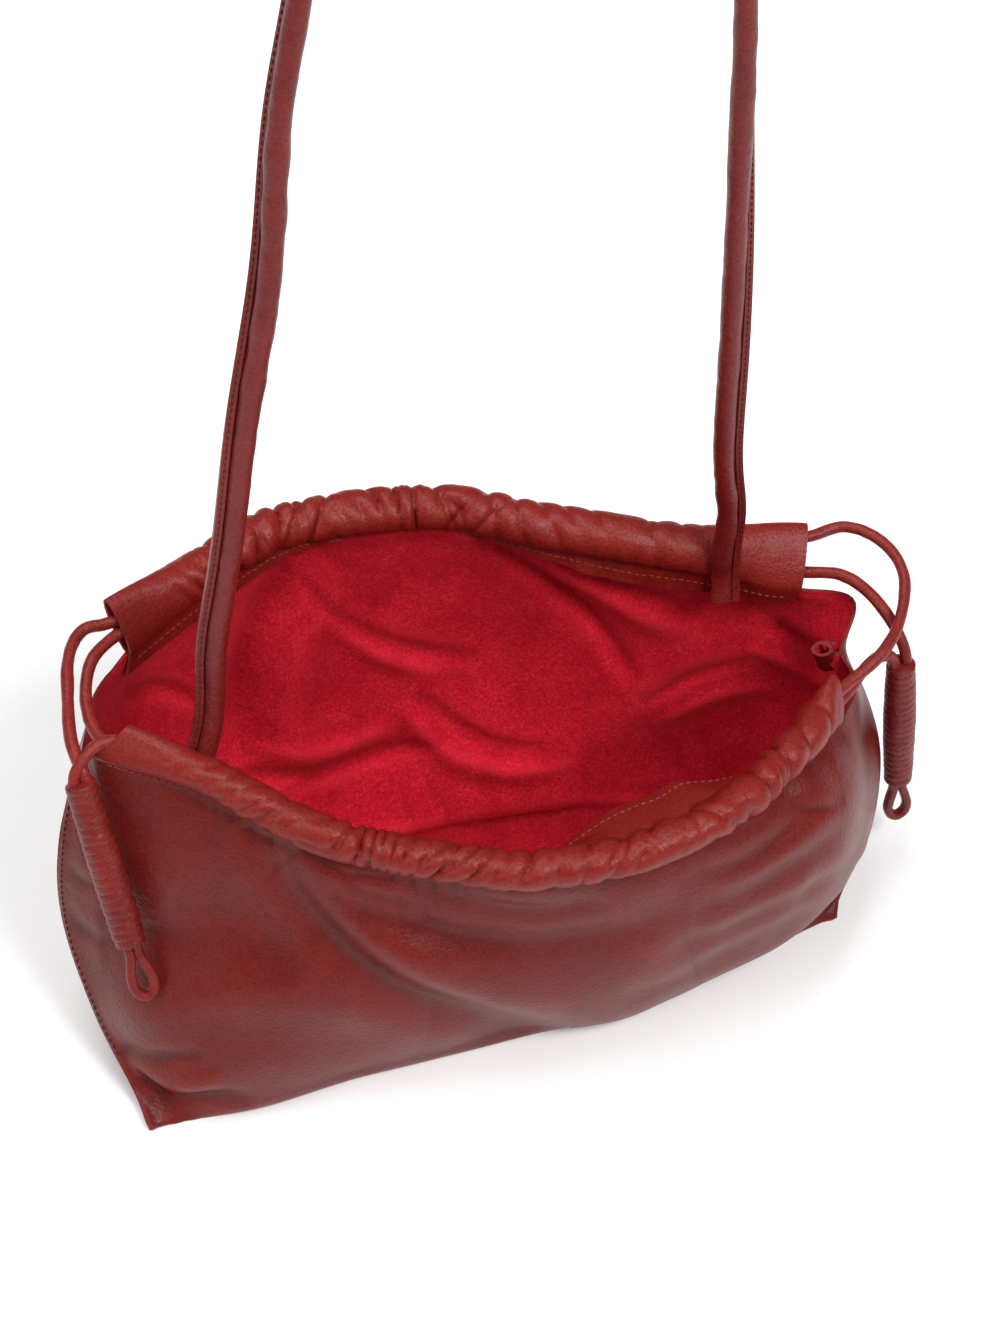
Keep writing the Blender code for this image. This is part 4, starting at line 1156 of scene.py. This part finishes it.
def strap(front, back, finish, thread):
    """The shoulder strap: a rolled tube with a stitched flange, flattened at its sewn ends."""
    left_end, left_across = strap_end(front, STRAP_LEFT_AT)
    right_end, right_across = strap_end(back, STRAP_RIGHT_AT)
    right_end = [point - right_across * moved for point, moved in zip(right_end, STRAP_STRAIGHTENED)]

    def risen(share):
        return np.array([share[0] * BAG_WIDTH / 2, share[1] * BAG_DEPTH, BAG_HEIGHT + share[2] * STRAP_RISE])

    upper = [risen(p) for p in (*STRAP_SIDE_LEFT, *STRAP_ARCH, *STRAP_SIDE_RIGHT)]
    route = np.array([*left_end, *upper, *reversed(right_end)])
    places = np.linspace(0, 1, 640)
    centres = smooth(route, places)
    for _ in range(90):
        centres[1:-1] = (centres[:-2] + 2 * centres[1:-1] + centres[2:]) / 4
    way = unit(np.gradient(centres, axis=0))
    total = np.linalg.norm(np.diff(centres, axis=0), axis=1).sum()
    across = unit(np.cross(way, (0, 1.0, 0)))
    across *= -np.sign(across[0, 0])
    from_end = np.minimum(places, 1 - places) * total
    sewn = (1 - ease((from_end - STRAP_TAIL) / STRAP_CLEAR_RISE))[:, None]
    along_casing = np.where(places[:, None] < 0.5, -left_across, right_across)
    across = across * (1 - sewn) + along_casing * sewn
    across = unit(across - way * (across * way).sum(axis=1, keepdims=True))
    behind = np.cross(way, across)
    behind *= np.sign(behind[:, 1:2])
    turned = np.radians(FLANGE_TURN) * ease((centres[:, 2:] - BAG_HEIGHT) / STRAP_RISE * 2 - 0.4)
    across, tops = (across * np.cos(turned) + behind * np.sin(turned),
                    behind * np.cos(turned) - across * np.sin(turned))
    flat = 1 - ease((from_end - STRAP_TAIL) / STRAP_TAIL)

    run = places * total
    dent = wander(run, 0.012, 91) * 0.00022
    radius = STRAP_DIAMETER / 2
    outline_turns = np.radians(np.linspace(18, 342, 24))
    edge = radius + STRAP_FLANGE
    points = []
    for i, centre in enumerate(centres):
        tall = radius + (STRAP_TAIL_THICKNESS / 2 - radius) * flat[i]
        wrinkle = cloud(np.stack([run[i] + outline_turns * 0, np.cos(outline_turns) * 0.004,
                                  np.sin(outline_turns) * 0.004], -1), 0.0045, 92) * 0.00010
        grow = 1 + (dent[i] + wrinkle) / radius
        x = radius * np.cos(outline_turns) * grow
        y = tall * np.sin(outline_turns) * grow
        lip = LEATHER * 0.95
        root = radius * 0.96
        flange = [root, radius * 1.10, edge * 0.985, edge]
        x = np.concatenate([x, flange, flange[::-1]])
        y = np.concatenate([y, np.array([-0.35, -1, -1, -0.6, 0.6, 1, 1, 0.35]) * lip])
        points.append(centre + np.outer(x, across[i]) + np.outer(y, tops[i]))
    size = len(points[0])
    points = np.concatenate(points)
    faces = tube_faces(points, len(centres), size)
    made = mesh_object("strap_leather", points, faces, [finish], sharp=50)

    keep = (run > 0.03) & (run < total - 0.03)
    for number, way_out in ((1, -1), (2, 1)):
        line = centres + across * (radius + STRAP_FLANGE * 0.55) + tops * LEATHER * 0.95 * way_out
        stitches(f"strap_stitches_{number}", line[keep], tops[keep] * way_out, thread)
    return made


make_camera()
make_stage()
front = Casing(FRONT_CASING, FRONT_LEAN, 1, FRONT_FLAT, FRONT_CREASES, FRONT_PITCH)
back = Casing(BACK_CASING, BACK_LEAN, -1, BACK_FLAT, BACK_CREASES, BACK_PITCH)

# Leathers and thread
panel_leather = grain_leather("nappa", (0.102, 0.0048, 0.0028), (0.122, 0.0068, 0.0040),
                              (0.146, 0.0094, 0.0058))
cord_leather = grain_leather("nappa_cord", (0.15, 0.0095, 0.007), (0.19, 0.014, 0.011), (0.24, 0.020, 0.016))
strap_finish = grain_leather("nappa_strap", (0.118, 0.0078, 0.006), (0.145, 0.011, 0.0085),
                             (0.18, 0.016, 0.012))
wound = grain_leather("nappa_strip", (0.11, 0.0068, 0.005), (0.15, 0.011, 0.008), (0.20, 0.018, 0.013))
suede_inside = suede("suede")
raw_edge = cut_edge("cut_edge")
thread = thread_finish("thread", (0.20, 0.020, 0.018), (0.33, 0.045, 0.040))
dark_thread = thread_finish("thread_dark", (0.055, 0.005, 0.005), (0.10, 0.010, 0.009))

# Cords and toggles
left_start, left_finish = cord_ends(LEFT_TOGGLE_TOP, LEFT_TOGGLE_END)
right_start, right_finish = cord_ends(RIGHT_TOGGLE_TOP, RIGHT_TOGGLE_END)
left_cord, left_line = cord("cord_left", [
    *left_start,
    *[at(p) for p in reversed(LEFT_OUTER)],
    *back.cord_line(1),
    *[at(p) for p in RIGHT_OUTER],
    *front.cord_line(1)[::-1],
    *[at(p) for p in LEFT_INNER],
    *left_finish,
], 31, cord_leather)
right_cord, right_line = cord("cord_right", [
    *right_start,
    *[at(p) for p in reversed(RIGHT_BACK)],
    *back.cord_line(-1)[::-1],
    *[at(p) for p in LEFT_LOOP],
    *front.cord_line(-1),
    *[at(p) for p in RIGHT_FRONT],
    *right_finish,
], 41, cord_leather)

for side_name, top, end, seed in (("left", LEFT_TOGGLE_TOP, LEFT_TOGGLE_END, 3),
                                  ("right", RIGHT_TOGGLE_TOP, RIGHT_TOGGLE_END, 5)):
    winding = toggle_wrap(f"winding_{side_name}", top, end, seed, wound)
    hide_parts(f"toggle_wrap_{side_name}")
    loop = toggle_loop(f"end_loop_{side_name}", top, end, wound)
    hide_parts(f"toggle_loop_{side_name}")

for made, line, side_name in ((left_cord, left_line, "left"), (right_cord, right_line, "right")):
    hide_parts(f"drawcord_{side_name}")
    length = float(np.linalg.norm(np.diff(line, axis=0), axis=1).sum())
    print("cord", side_name, round(length, 3))

# Panels
finishes = [panel_leather, suede_inside, raw_edge]
front_piece, front_rows, front_rings = panel(
    "front_leather", front, FRONT_ROWS, FRONT_CORNERS, FRONT_FOLDS, FRONT_FLAP_TURN, finishes)
back_piece, back_rows, back_rings = panel(
    "back_leather", back, BACK_ROWS, BACK_CORNERS, BACK_FOLDS, BACK_FLAP_TURN, finishes)
for made, node in ((front_piece, "front_panel"), (back_piece, "back_panel")):
    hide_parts(node)

curled_edge("side_curl", finishes)
strap_piece = strap(front, back, strap_finish, dark_thread)
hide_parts("strap")

bpy.context.scene.view_settings.view_transform = "Standard"
